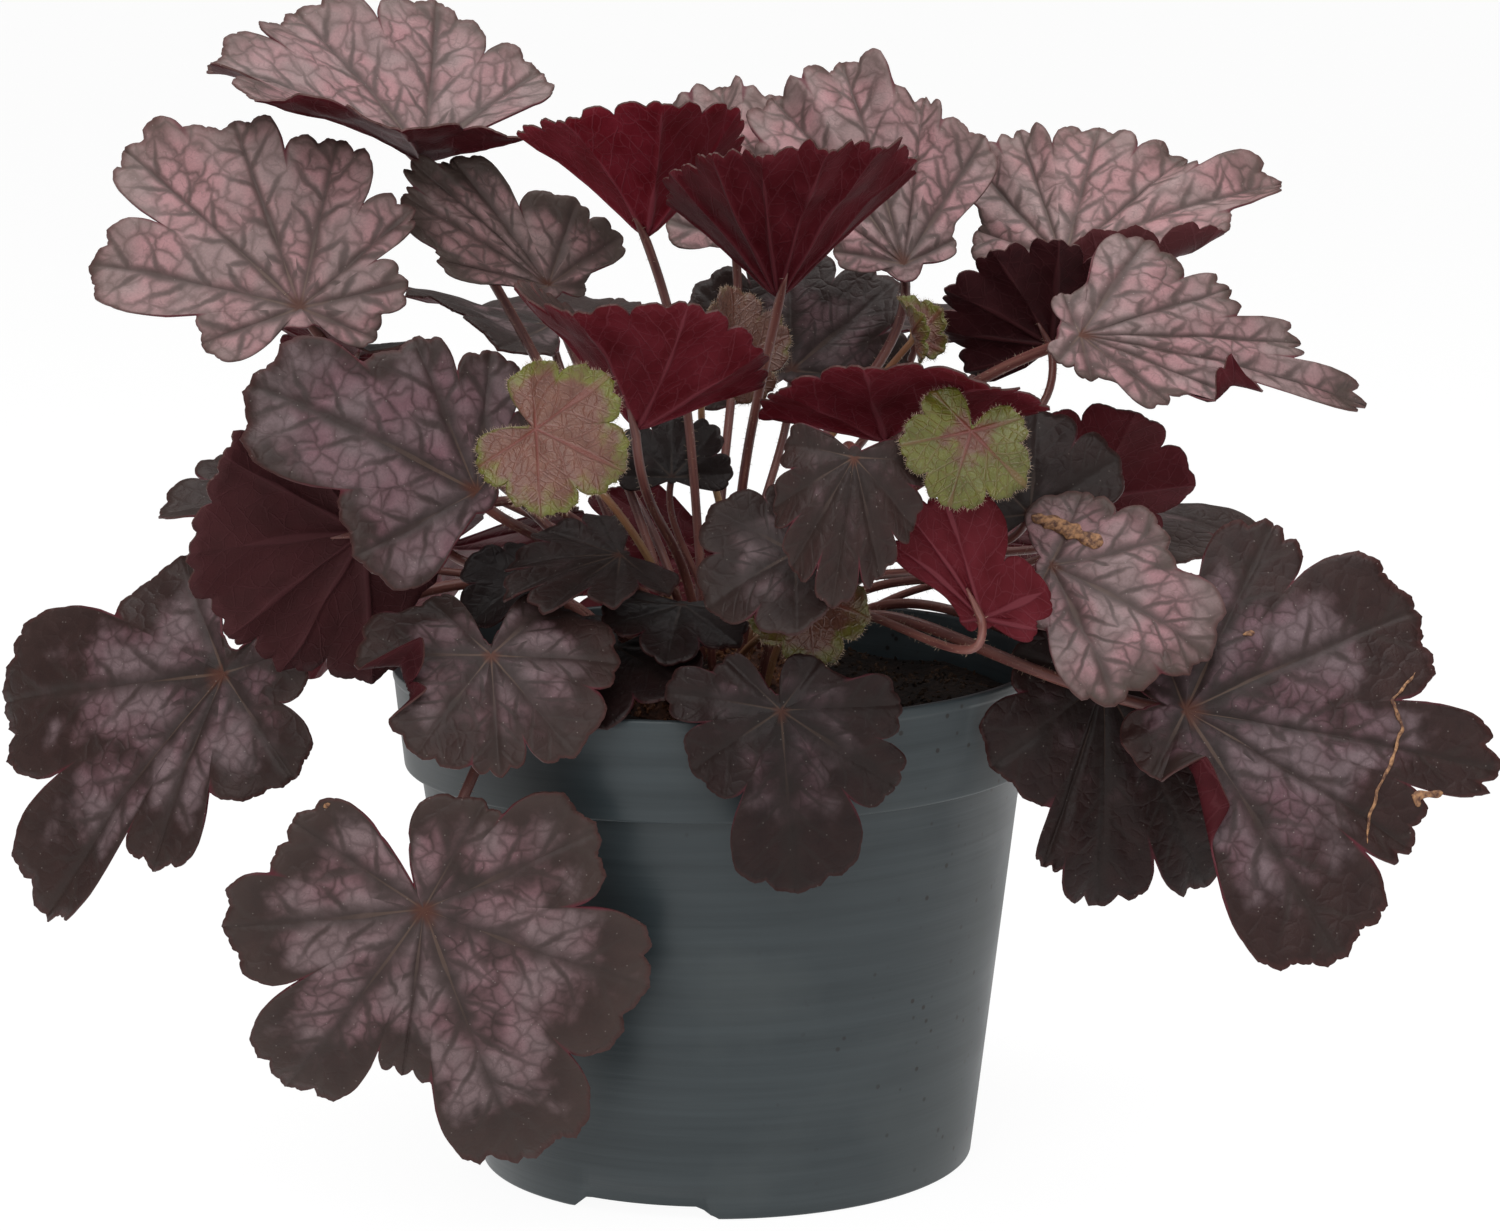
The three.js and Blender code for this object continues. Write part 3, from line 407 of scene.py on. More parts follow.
def margin(leaf, angle):
    # the margin's distance from the joint as a share of size: lobes, scallops, and small pointed teeth on them
    index, phase = lobePhase(leaf, angle)
    turns = lobeTurns(leaf)
    lobe = index.astype(int)
    arch = np.sqrt(np.clip(1 - np.abs(phase) ** 2.4, 0, 1))
    scallop = plantSettings["scallop"] * np.abs(np.cos(1.5 * math.pi * phase)) ** 0.8
    if leaf["outline"]:
        shares = np.array([percent for _, percent in leaf["outline"]]) / 100
        tipShare = shares[2 * lobe + 1]
        cleftShare = shares[np.where(phase < 0, 2 * lobe, 2 * lobe + 2)]
    else:
        body = 1 - leaf["basal"] * np.sin(angle / 2) ** 2
        tipShare = body * lobeLength(leaf, index, phase)
        cleftShare = tipShare * (1 - leaf["cut"])
    spans = (turns[2::2] - turns[:-2:2])[lobe] * tipShare * leaf["size"]
    toothWidth, toothDepth = plantSettings["youngTooth" if leaf["young"] else "tooth"]
    count = np.maximum(2, np.round(spans[np.searchsorted(lobe, lobe)] / toothWidth))
    place = (phase + 1) / 2 * count + 0.12 * np.sin(5 * angle + leaf["seed"])
    inTooth = 2 * (place - np.floor(place)) - 1
    tooth = toothDepth * (np.sqrt(np.clip(1 - np.abs(inTooth) ** 2.6, 0, 1)) - 0.75)
    tooth = tooth + toothDepth / 2 * np.exp(-((inTooth / 0.16) ** 2))
    shrink = 0.75 + 0.25 * np.sin(3.7 * np.floor(place) + index * 2.1 + leaf["seed"])
    end = np.where(angle < 0, -turns[0], turns[-1])
    fade = np.minimum(math.radians(plantSettings["sinusFade"]), math.pi - end)
    notchShare = smoothstep((end + fade - np.abs(angle)) / fade, 0, 1)
    peak = 0.97 if leaf["outline"] else 1
    edge = cleftShare + (tipShare * (peak + scallop) - cleftShare) * arch
    edge = edge + tipShare * tooth * shrink * (0.35 + 0.65 * arch)
    return plantSettings["sinusFloor"] + (edge - plantSettings["sinusFloor"]) * notchShare


def leafAxes(leaf):
    tip = unit(leaf["tip"])
    top = np.array(leaf["top"], float)
    top = unit(top - tip * top.dot(tip))
    return tip, top, np.cross(tip, top)


def onLeaf(leaf, u, v, lift=0.0):
    # a point of the flat leaf, u across and v along the midrib, placed on the curved one and raised by lift
    u, v = np.asarray(u, float), np.asarray(v, float)
    size, seed = leaf["size"], leaf["seed"]
    angle = np.arctan2(u, v)
    reach = np.hypot(u, v)
    phase = lobePhase(leaf, angle)[1]
    u = u * leaf["width"]
    swell = (reach / size) ** 2 * size
    w = -leaf["pleat"] * swell * np.cos(math.pi * phase)
    w = w + leaf["wave"] * swell * 0.6 * np.sin(2 * angle + 3 * draw(seed, 21))
    w = w + leaf["wave"] * swell * 0.4 * np.sin(3 * angle + 3 * draw(seed, 22))
    slope = 1 / math.hypot(1, leaf["funnel"])
    w = w + leaf["funnel"] * slope * np.hypot(u, v)
    w = w + lift
    u, v = u * slope, v * slope
    for towards, start, radius, turnDeg, *sector in leaf["folds"] + leaf["curls"]:
        nu, nv = math.sin(math.radians(towards)), math.cos(math.radians(towards))
        past = np.maximum(u * nu + v * nv - start * size, 0)
        if sector:  # a curl takes in the margin between two angles only
            first, last = sector
            turned = np.degrees(angle)
            past = past * smoothstep(turned, first - 3, first + 3) * smoothstep(-turned, -last - 3, 3 - last)
        turn = np.minimum(past / radius, math.radians(abs(turnDeg)))
        flat = past - turn * radius
        shift = radius * np.sin(turn) + flat * np.cos(turn) - past
        u, v = u + nu * shift, v + nv * shift
        up = radius * (1 - np.cos(turn)) + flat * np.sin(turn)
        w = w * np.cos(turn) + math.copysign(1, turnDeg) * up
    cup = math.radians(leaf["cup"] or 0.01) / size
    droop = math.radians(leaf["droop"]) / size
    across = np.sin(cup * u) / cup - w * np.sin(cup * u)
    height = (1 - np.cos(cup * u)) / cup + w * np.cos(cup * u)
    along = (1 / droop + height) * np.sin(droop * v)
    up = (1 / droop + height) * np.cos(droop * v) - 1 / droop
    tip, top, side = leafAxes(leaf)
    return np.array(leaf["at"], float) + across[..., None] * side + along[..., None] * tip + up[..., None] * top


# ---- blades ----

reliefSettings = {  # heights in mm
    "midribDepth": 0.6,
    "sideVeinDepth": 0.15,
    "underRib": 0.5,
    "underJoint": 0.4,
    "cushion": (0.28, 9),  # height and wavelength of the swellings between the veins
    "billow": (1.1, 27),  # and of the blade's larger waves
    "veinSpacing": 0.17,  # side veins along a midrib, as a share of size
    "fullSize": 45,  # smaller leaves have lower relief
}


def bladeColumns(leaf):
    # the angles round the joint from one side of the basal notch to the other
    turns = lobeTurns(leaf)
    degrees = plantSettings["fineColumnDeg" if leaf["fine"] else "columnDeg"]
    spacing = math.radians(degrees) * 60 / max(leaf["size"], 40)
    steps = [max(8, math.ceil((b - a) / spacing)) for a, b in zip(turns, turns[1:])]
    runs = [np.linspace(a, b, n, endpoint=False) for a, b, n in zip(turns, turns[1:], steps)]
    before = -math.pi + np.array([0, 0.25, 0.5, 0.75, 0.9]) * (math.pi + turns[0])
    after = turns[-1] + np.array([0, 0.1, 0.25, 0.5, 0.75]) * (math.pi - turns[-1])
    return np.concatenate([before, *runs, after])


def ribPlace(leaf, index, angle, reach):
    # across: mm from the lobe's midrib; along: place between side veins, in vein spacings
    u, v = reach * np.sin(angle), reach * np.cos(angle)
    turns = lobeTurns(leaf)
    lobe = index.astype(int)
    off = angle - turns[2 * lobe + 1]
    slim = np.clip((turns[2::2] - turns[:-2:2])[lobe] / math.radians(34), 0.45, 1)
    across = np.abs(off) * reach / slim + 0.8 * np.minimum(1, reach / 14) * ripple(leaf["seed"], u, v, 19)
    along = reach + 1.8 * ripple(leaf["seed"] + 60, u, v, 24) - 1.1 * np.abs(off) * reach
    return np.maximum(across, 0), along / (reliefSettings["veinSpacing"] * leaf["size"]) + 0.37 * index


def cushions(leaf, angles, reach, share):
    # the blade's swellings between its veins and the ruffles of its margin, up and down in mm
    size, seed = leaf["size"], leaf["seed"]
    u, v = reach * np.sin(angles), reach * np.cos(angles)
    low, high = reliefSettings["cushion"], reliefSettings["billow"]
    rise = low[0] * ripple(seed + 90, u, v, low[1]) * smoothstep(reach, 3, 16)
    rise = rise + high[0] * ripple(seed + 95, u, v, high[1]) * smoothstep(reach, 6, 25)
    ruffle = leaf["ruffle"] * size * share**4 * ripple(seed + 7, angles * 26, angles * 0 + seed, 13)
    return rise * min(1, size / reliefSettings["fullSize"]) * smoothstep(reach, 0.5, 5) + ruffle


def cornerRibs(leaf, angles, reach):
    # rib coordinates by face corner, so that both sides of a midrib differ: the fan's, then the quads'
    columns = len(angles)
    here = np.arange(columns)
    after = (here + 1) % columns
    gap = np.where(here == columns - 1, math.pi, (angles + angles[after]) / 2)
    index, phase = lobePhase(leaf, gap)
    rows = np.concatenate([np.zeros((1, columns)), reach])
    nextAngles = np.where(here == columns - 1, math.pi, angles[after])
    corners = []
    for turn, far in ((angles, rows), (nextAngles, rows[:, after])):
        across, along = ribPlace(leaf, index, turn, far)
        corners.append(np.stack([across, along + 0.5 * (phase < 0)], -1))
    own, other = corners
    fan = np.stack([own[0], other[1], own[1]], 1)
    quads = np.stack([own[1:-1], other[1:-1], other[2:], own[2:]], 2)
    return fan, quads.reshape(-1, 4, 2)


def makeLeaf(leaf, upper, under, skin):
    size, seed, s = leaf["size"], leaf["seed"], reliefSettings
    angles = bladeColumns(leaf)
    columns = len(angles)
    ringCount = plantSettings["rings"] if leaf["fine"] else int(plantSettings["rings"] * 0.75)
    shares = (np.arange(1, ringCount + 1) / ringCount) ** 0.9
    reach = shares[:, None] * (margin(leaf, angles) * size)[None, :]
    u, v = reach * np.sin(angles), reach * np.cos(angles)
    index, phase = lobePhase(leaf, angles)
    across, along = ribPlace(leaf, index, angles, reach)
    share = shares[:, None] * np.ones(columns)
    # relief: sunk midribs and side veins, and cushions between them
    midrib = np.exp(-((across / (1.5 - 0.7 * share)) ** 2))
    sideVein = np.abs((along + 0.5 * (phase < 0) + 0.5) % 1 - 0.5)
    sideVein = np.exp(-((sideVein / 0.11) ** 2)) * smoothstep(reach / size, 0.15, 0.35)
    sideVein = sideVein * smoothstep(-across, -13, -5)
    scale = min(1, size / s["fullSize"])
    lift = -s["midribDepth"] * midrib - s["sideVeinDepth"] * sideVein * (1 - midrib)
    lift = lift * scale * smoothstep(reach, 0.5, 5) + cushions(leaf, angles, reach, share)
    middle = np.concatenate([onLeaf(leaf, [0.0], [0.0]), onLeaf(leaf, u.ravel(), v.ravel(), lift.ravel())])
    count = len(middle)

    here = np.arange(columns)
    after = (here + 1) % columns
    ring = np.stack([here, after, columns + after, columns + here], 1)
    fan = np.stack([here * 0, 1 + after, 1 + here], 1)
    quads = np.concatenate([1 + j * columns + ring for j in range(ringCount - 1)])
    normals = vertexNormals(middle, np.concatenate([fan, quads[:, [0, 1, 2]], quads[:, [0, 2, 3]]]))
    ribLift = s["underRib"] * np.exp(-((across / (0.9 - 0.4 * share)) ** 2)) * (1 - 0.75 * share)
    ribLift = np.concatenate([[s["underJoint"]], ribLift.ravel()]) * scale
    thick = plantSettings["bladeThickness"] / 2
    stalkPoints, stalkFaces, stalkUv = makeStalk(leaf)
    points = np.concatenate([middle + normals * thick, middle - normals * (thick + ribLift[:, None]), stalkPoints])
    last = 1 + (ringCount - 1) * columns
    rim = np.stack([last + here, last + after, last + after + count, last + here + count], 1)
    stalk = [[p + 2 * count for p in face] for face in stalkFaces]
    upperFaces = fan.tolist() + quads.tolist()
    underFaces = (fan[:, ::-1] + count).tolist() + (quads[:, ::-1] + count).tolist()
    groups = [(upperFaces, 0, True), (underFaces, 1, True), (rim.tolist(), 0, False), (stalk, 2, True)]
    faces = [face for group, _, _ in groups for face in group]
    slots = np.concatenate([np.full(len(group), slot) for group, slot, _ in groups])
    smooth = np.concatenate([np.full(len(group), soft) for group, _, soft in groups])  # the cut edge stays crisp
    name = "leaf" + "".join(part.capitalize() for part in leaf["name"].split("_"))
    piece = newPiece(name, points, faces, [upper, under, skin], slots, smooth)
    mesh = piece.data

    # flat leaf coordinates, away from other leaves' by a draw, and rib coordinates
    flat = np.concatenate([[[0, 0]], np.stack([u.ravel(), v.ravel()], 1)])
    flat = flat + [[400 * draw(seed, 71), 400 * draw(seed, 72)]]
    restUv = np.concatenate([stalkUv[face] for face in stalkFaces])
    flats = [flat[corners.ravel()] for corners in (fan, quads, fan[:, ::-1], quads[:, ::-1], rim % count)]
    setUv(mesh, "flatBlade", np.concatenate([*flats, restUv]))
    fanRibs, quadRibs = cornerRibs(leaf, angles, reach)
    ribs = [corners.reshape(-1, 2) for corners in (fanRibs, quadRibs, fanRibs[:, ::-1], quadRibs[:, ::-1])]
    setUv(mesh, "ribs", np.concatenate([*ribs, np.full((rim.size, 2), 9.0), restUv]))
    shareValue = np.concatenate([[0], share.ravel()])
    nearCleft = np.concatenate([[0], (np.abs(phase) * np.ones_like(share)).ravel()])
    setPointValue(mesh, "marginShare", np.concatenate([shareValue, shareValue, stalkUv[:, 1] / 100]))
    setPointValue(mesh, "cleft", np.concatenate([nearCleft, nearCleft, stalkUv[:, 1] * 0]))
    for key in ("pale", "patch", "wine", "tone", "dull"):
        setPointValue(mesh, key, np.full(len(points), leaf[key]))
    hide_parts("leaf_" + leaf["name"])
    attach(piece, root)
    return piece


# ---- stalks ----


def crownHeight(r):
    return plantSettings["crownTop"] + plantSettings["crownRise"] * (1 - (r / plantSettings["crownRadius"]) ** 2.2)


def giveRoots(leaves):
    # standing places in a sunflower spiral; leaves swap while that brings both nearer to their own side
    golden = math.radians(137.508)
    flat = lambda leaf: math.hypot(leaf["at"][0], leaf["at"][1])
    byReach = sorted(leaves, key=flat)
    count = len(byReach)
    wishes = []
    for i, leaf in enumerate(byReach):
        out = plantSettings["rootCircle"] * math.sqrt((i + 0.5) / count)
        wishes.append((leaf["at"][0] * out / flat(leaf), leaf["at"][1] * out / flat(leaf)))
        leaf["root"] = (math.cos(i * golden) * out, math.sin(i * golden) * out)
    off = lambda i, j: (byReach[j]["root"][0] - wishes[i][0]) ** 2 + (byReach[j]["root"][1] - wishes[i][1]) ** 2
    swapped = True
    while swapped:
        swapped = False
        for i in range(count):
            for j in range(i):
                if off(i, j) + off(j, i) <= off(i, i) + off(j, j) - 1e-6:
                    byReach[i]["root"], byReach[j]["root"] = byReach[j]["root"], byReach[i]["root"]
                    swapped = True


def tubeMesh(points, radii, sides):
    # a closed tube with its frame carried along the path; uv: mm round it and mm along it
    tangents = np.gradient(points, axis=0)
    tangents /= np.linalg.norm(tangents, axis=1, keepdims=True)
    across = np.array([1, 0.2, 0.1])
    rings, uv = [], []
    turns = np.arange(sides) * 2 * math.pi / sides
    for point, tangent, radius, far in zip(points, tangents, radii, pathLengths(points)):
        across = unit(across - tangent * across.dot(tangent))
        other = np.cross(tangent, across)
        rings.append(point + radius * (np.cos(turns)[:, None] * across + np.sin(turns)[:, None] * other))
        uv.append(np.stack([turns / (2 * math.pi) * 9, np.full(sides, far)], 1))
    faces = []
    for i in range(len(points) - 1):
        for side in range(sides):
            a, b = i * sides + side, i * sides + (side + 1) % sides
            faces.append([a, b, b + sides, a + sides])
    faces.append(list(range(sides))[::-1])
    lastRing = (len(points) - 1) * sides
    faces.append(list(range(lastRing, lastRing + sides)))
    return np.concatenate(rings), faces, np.concatenate(uv)


def makeStalk(leaf):
    x, y = leaf["root"]
    lean = plantSettings["rootLean"]
    foot = np.array([x, y, crownHeight(math.hypot(x, y))])
    axis = unit([x * lean, y * lean, 1])
    tip, top, _ = leafAxes(leaf)
    thinnest, growth = plantSettings["stalkRadius"]
    radius = thinnest + growth * leaf["size"]
    arrive = unit(leaf["arrive"]) if leaf["arrive"] else tip * 0.6 + top * 0.8
    below = lambda v, r: onLeaf(leaf, [0.0], [v])[0] - top * (0.5 + 0.8 * r)
    end = below(0.0, radius)
    run = np.linalg.norm(end - foot)
    rise = leaf["rise"] or run * 0.45
    reach = leaf["reach"] or run * 0.35
    a, b, c, d = foot + axis * 3, foot + axis * rise, end - arrive * reach, end
    t = np.linspace(0, 1, plantSettings["stalkSteps"])[:, None]
    curve = (1 - t) ** 3 * a + 3 * (1 - t) ** 2 * t * b + 3 * (1 - t) * t**2 * c + t**3 * d
    ribReach = min(9, leaf["size"] * 0.25)
    ribs = [below(k * ribReach, radius * (1 - k) + 0.45 * k) for k in (0.3, 0.6, 1.0)]
    points = np.concatenate([[foot - axis * plantSettings["rootDepth"]], curve, ribs])
    radii = np.full(len(points), radius)
    radii[:4] *= plantSettings["stalkFoot"]
    radii[-3:] = [radius * 0.85, radius * 0.62, 0.3]
    return tubeMesh(points, radii, plantSettings["stalkSides"])


giveRoots(leafPieces)


# ---- leaf materials ----


def leafMaterial(name, *keys):
    # newMaterial with mm on the flat leaf, mm from the midrib, the place between side veins, and the leaf's values
    add, finish = newMaterial(name)
    ribs = add("SeparateXYZ", add("UVMap ribs")).outputs
    values = [add("Attribute " + key).outputs["Fac"] for key in keys]
    return add, finish, add("UVMap flatBlade"), ribs["X"], ribs["Y"], *values


def leafUpperMaterial():
    # Heuchera leaf, upper skin: satin cuticle over purple pigment; air under it makes pale patches between veins
    keys = "marginShare", "cleft", "pale", "patch", "tone"
    add, finish, flat, across, along, share, cleft, pale, patch, tone = leafMaterial("heucheraLeafUpper", *keys)
    broad = add("TexNoise", flat, 0.06, 2)  # 17 mm clouds
    cloud = add("TexNoise", flat, 0.17, 3)  # 6 mm clouds
    grain = add("TexNoise", flat, 1.6, 3)  # 0.6 mm cells
    # the midribs' grey bands, broader on the dark leaves, with feathered edges
    narrowing = add("MapRange", share, 0.1, 1, 1, 0.55)
    width = add("Math MULTIPLY", add("MapRange", patch, 0.3, 1, 6, 2.3), narrowing)
    frayed = add("Math MULTIPLY_ADD", cloud, 1.1, add("Math DIVIDE", across, width))
    midrib = add("MapRange SMOOTHSTEP", frayed, 0.25, 2, 1, 0)
    # side veins as chevrons that thin out away from the midrib
    side = add("Math PINGPONG", add("Math MULTIPLY_ADD", cloud, 0.5, along), 0.5)
    side = add("Math DIVIDE", side, add("MapRange", across, 1, 12, 0.23, 0.08))
    sideFade = add("MapRange", across, 4, 13, 0.78, 0.12)
    sideVein = add("Math MULTIPLY", add("MapRange SMOOTHSTEP", side, 0.1, 1, 1, 0), sideFade)
    # a net of 6 mm meshes, closer on the dark leaves, and short twigs inside them
    scaled = add("VectorMath SCALE", flat, add("MapRange", patch, 0.4, 1, 1.75))
    bend = add("VectorMath MULTIPLY_ADD", cloud.outputs["Color"], (7, 7, 7), scaled)
    net = add("TexVoronoi DISTANCE_TO_EDGE", bend, 0.16, voronoi_dimensions="2D")
    netVein = add("MapRange SMOOTHSTEP", add("Math MULTIPLY_ADD", grain, -0.07, net), -0.06, 0.14, 1, 0)
    netVein = add("Math MULTIPLY", netVein, add("MapRange", broad, 0.38, 0.6, 0.75, 0.3))
    twigs = add("TexVoronoi DISTANCE_TO_EDGE", bend, 0.42, voronoi_dimensions="2D")
    twigShare = add("MapRange", cloud, 0.46, 0.62, 0, 0.28)
    twig = add("Math MULTIPLY", add("MapRange SMOOTHSTEP", twigs, 0, 0.13, 1, 0), twigShare)
    strong = add("Math MAXIMUM", midrib, sideVein)
    veins = add("Math MAXIMUM", strong, add("Math MAXIMUM", netVein, twig))
    # where the skin is silvered: clouds, fading towards the margin, with gaps at the veins and flecks in each cell
    mottle = add("Math MULTIPLY_ADD", cloud, 0.9, add("Math MULTIPLY_ADD", broad, 1.9, -1.13))
    past = add("Math SUBTRACT", share, add("MapRange", patch, 0.4, 1, 0.48, 0.8))
    edgeFade = add("MapRange", past, 0, 0.3, 0, -0.8)
    level = add("Math ADD", add("Math MULTIPLY_ADD", patch, 1.3, mottle), edgeFade)
    gaps = add("Math MULTIPLY_ADD", veins, -0.9, 1)
    silver = add("Math MULTIPLY", add("MapRange SMOOTHSTEP", level, 0.55, 1.3), gaps)
    cell = add("TexVoronoi", bend, 0.16, voronoi_dimensions="2D").outputs["Color"]
    cellTone = add("Math MULTIPLY", add("MapRange", cell, 0, 1, 0.78, 1.05), add("MapRange", net, 0, 0.3, 0.72))
    fleck = add("Math MULTIPLY", add("MapRange", grain, 0.3, 0.7, 0.84, 1.06), cellTone)
    silver = add("Math MULTIPLY", silver, fleck, use_clamp=True)
    # colours: darkest round the joint, greyer outwards
    inner = add("MapRange SMOOTHSTEP", share, 0.05, 0.55, 0.75, 0)
    dark = add("Mix RGBA", inner, add("Mix RGBA", cloud, "#170a0a", "#372321"), "#171011")
    ground = add("Mix RGBA", pale, dark, "#4c403c")
    rosy = add("Mix RGBA", pale, "#6a4954", "#b28386")
    silvery = add("Mix RGBA", pale, "#695b5e", "#988381")
    cells = add("Mix RGBA", add("MapRange", broad, 0.4, 0.6, 0.15, 0.85), rosy, silvery)
    olive = add("Mix RGBA", pale, "#2e2724", "#4f423f")
    outer = add("Math MULTIPLY", add("MapRange SMOOTHSTEP", share, 0.78, 1, 0, 0.45), pale)
    tanLine = add("MapRange SMOOTHSTEP", across, 0.08, 0.42, 0.3, 0)
    tanLine = add("Math MULTIPLY", tanLine, add("MapRange", share, 0.05, 0.5, 1, 0))
    joint = add("MapRange SMOOTHSTEP", share, 0.02, 0.1, 0.85, 0)
    rim = add("MapRange", share, 0.97, 1, 0, 0.5)
    turned = add("Math MULTIPLY_ADD", broad, 0.25, add("Math MULTIPLY", cleft, share))
    turned = add("MapRange SMOOTHSTEP", turned, 0.98, 1.12, 0, 0.8)
    dust = add("TexVoronoi", flat, 0.14, voronoi_dimensions="2D").outputs["Distance"]
    skin = ground
    for amount, colour in (
        (silver, cells),
        (add("Math MULTIPLY", strong, 0.55), olive),
        (outer, "#62544e"),
        (tanLine, "#846a5a"),  # a thin line on the midribs
        (joint, "#4e2c22"),  # a brown spot on the joint
        (rim, "#54302e"),
        (turned, "#55202a"),  # red where the clefts' margin turns over
        (add("MapRange", dust, 0.012, 0.03, 0.3, 0), "#a39a94"),  # specks of dust
    ):
        skin = add("Mix RGBA", amount, skin, colour)
    # painted shade: each leaf's colour is darkened towards near-black by its own value, most for leaves deep in
    # the plant
    skin = add("Mix RGBA", tone, "#070506", skin)
    # relief: sunk veins, cushions between them and the skin's fine grain
    height = add("Math MULTIPLY_ADD", net, 1.1, add("Math MULTIPLY_ADD", veins, -0.7, 1))
    height = add("Math MULTIPLY_ADD", grain, 0.35, height)
    return finish({"Base Color": skin, "Roughness": 0.42, "Specular IOR Level": 0.16}, height, 0.3, 0.0007)


def leafUnderMaterial():
    # Heuchera leaf, under skin: wine red and matt, with lighter raised veins
    add, finish, flat, across, along, *values = leafMaterial("heucheraLeafUnder", "marginShare", "wine", "dull")
    share, wine, dull = values
    cloud = add("TexNoise", flat, 0.1, 3)  # 10 mm
    grain = add("TexNoise", flat, 1.3, 3)  # 0.8 mm
    spread = add("Math DIVIDE", across, add("MapRange", share, 0, 1, 0.9, 0.28))
    midrib = add("MapRange SMOOTHSTEP", spread, 0.3, 1.2, 0.9, 0)
    side = add("Math PINGPONG", add("Math MULTIPLY_ADD", cloud, 0.6, along), 0.5)
    sideVein = add("MapRange SMOOTHSTEP", side, 0.012, 0.05, 0.6, 0)
    bend = add("VectorMath MULTIPLY_ADD", cloud.outputs["Color"], (8, 8, 8), flat)
    net = add("TexVoronoi DISTANCE_TO_EDGE", bend, 0.24, voronoi_dimensions="2D")
    netVein = add("MapRange SMOOTHSTEP", net, 0.01, 0.06, 0.4, 0)
    veins = add("Math MAXIMUM", add("Math MAXIMUM", midrib, sideVein), netVein)
    # partly painted light: each leaf's value brightens its red, for its own colour and for light shining through
    # the blade
    deep = add("Mix RGBA", wine, "#1a0b0d", "#5c1019")
    light = add("Mix RGBA", wine, "#2c1517", "#6f1f2a")
    body = add("Mix RGBA", add("MapRange", cloud, 0.35, 0.68), deep, light)
    veinTone = add("Mix RGBA", wine, "#3a1e1f", "#85404a")
    skin = add("Mix RGBA", add("Math MULTIPLY", veins, 0.62), body, veinTone)
    skin = add("Mix RGBA", dull, skin, "#3c2b2b")
    height = add("Math MULTIPLY_ADD", grain, 0.45, veins)
    return finish({"Base Color": skin, "Roughness": 0.55, "Specular IOR Level": 0.08}, height, 0.5, 0.0005)


def youngLeafMaterial():
    # Unfolding leaf: thin, glossy and lime at the margin, with bronze-red flushed along its veins
    add, finish, flat, across, along, *values = leafMaterial("heucheraYoungLeaf", "marginShare", "pale", "tone")
    share, pale, tone = values
    cloud = add("TexNoise", flat, 0.22, 3)  # 5 mm
    grain = add("TexNoise", flat, 1.8, 3)  # 0.6 mm
    midrib = add("MapRange SMOOTHSTEP", across, 0.1, 0.75, 1, 0)
    sideVein = add("MapRange SMOOTHSTEP", add("Math PINGPONG", along, 0.5), 0.02, 0.12, 0.4, 0)
    bend = add("VectorMath MULTIPLY_ADD", cloud.outputs["Color"], (4, 4, 4), flat)
    net = add("TexVoronoi DISTANCE_TO_EDGE", bend, 0.4, voronoi_dimensions="2D")
    netVein = add("MapRange SMOOTHSTEP", net, 0, 0.12, 0.4, 0)
    veins = add("Math MAXIMUM", add("Math MAXIMUM", midrib, sideVein), netVein)
    # lime spreads in from the margin
    level = add("Math MULTIPLY_ADD", pale, 1, add("Math MULTIPLY_ADD", cloud, 0.7, share))
    bronze = add("Mix RGBA", cloud, "#4e2d26", "#7c5546")
    green = add("Mix RGBA", cloud, "#3b3c12", "#70702a")
    body = add("Mix RGBA", add("MapRange SMOOTHSTEP", level, 1.14, 1.46), bronze, green)
    veinShare = add("Math MULTIPLY", add("MapRange", share, 0.1, 1, 0.85, 0.35), veins)
    # painted shade: each young leaf's colour is darkened towards dark brown by its own value, most for buds deep
    # in the plant
    skin = add("Mix RGBA", tone, "#2c1506", add("Mix RGBA", veinShare, body, "#6a2f28"))
    height = add("Math MULTIPLY_ADD", grain, 0.5, veins)
    return finish({"Base Color": skin, "Roughness": 0.3, "Specular IOR Level": 0.45}, height, 0.55, 0.0008)


def stalkMaterial(name, low, high, thin):
    # Leaf stalk: juicy and softly glossy, ribbed lengthwise, colour drifting along it
    add, finish = newMaterial(name)
    stretch = add("VectorMath MULTIPLY", add("UVMap flatBlade"), (1.3, 0.06, 1))  # from mm round and mm along
    streak = add("TexNoise", stretch, 1, 3)
    drift = add("TexNoise", add("TexCoord").outputs["Object"], 45, 2)  # 22 mm
    tone = add("Mix RGBA", add("MapRange", drift, 0.35, 0.65), low, high)
    skin = add("Mix RGBA", add("MapRange", streak, 0.4, 0.75, 0, 0.55), tone, thin)
    return finish({"Base Color": skin, "Roughness": 0.42}, streak, 0.4, 0.0004)


upperSkin, underSkin, youngSkin = leafUpperMaterial(), leafUnderMaterial(), youngLeafMaterial()
stalkSkin = stalkMaterial("heucheraStalk", "#4a2424", "#70403a", "#8c5f52")
youngStalkSkin = stalkMaterial("heucheraYoungStalk", "#8a6044", "#a8845c", "#704034")
leafObjects = []
for leaf in leafPieces:
    skins = (youngSkin, youngSkin, youngStalkSkin) if leaf["young"] else (upperSkin, underSkin, stalkSkin)
    leafObjects.append(makeLeaf(leaf, *skins))
report(f"{len(leafObjects)} leaves")


# ---- pot ----

potSettings = {
    "height": 132,
    "rimRadius": 85,
    "collarHeight": 26,
    "collarFootRadius": 82.5,
    "bodyTopRadius": 78.5,
    "footRadius": 64.5,
    "wall": 1.6,
    "seatRadius": 31,
    "channelHeight": 3.8,
    "footRingWidth": 5,
    "notchCount": 3,
    "notchFirstDeg": -109.5,
    "notchHeight": 3.4,
    "notchSlope": 4.2,
    "drainCount": 6,
    "drainRadius": 5,
    "drainCircle": 46,
    "drainSides": 24,
    "segments": 216,
    "edgeRounding": 0.7,
}


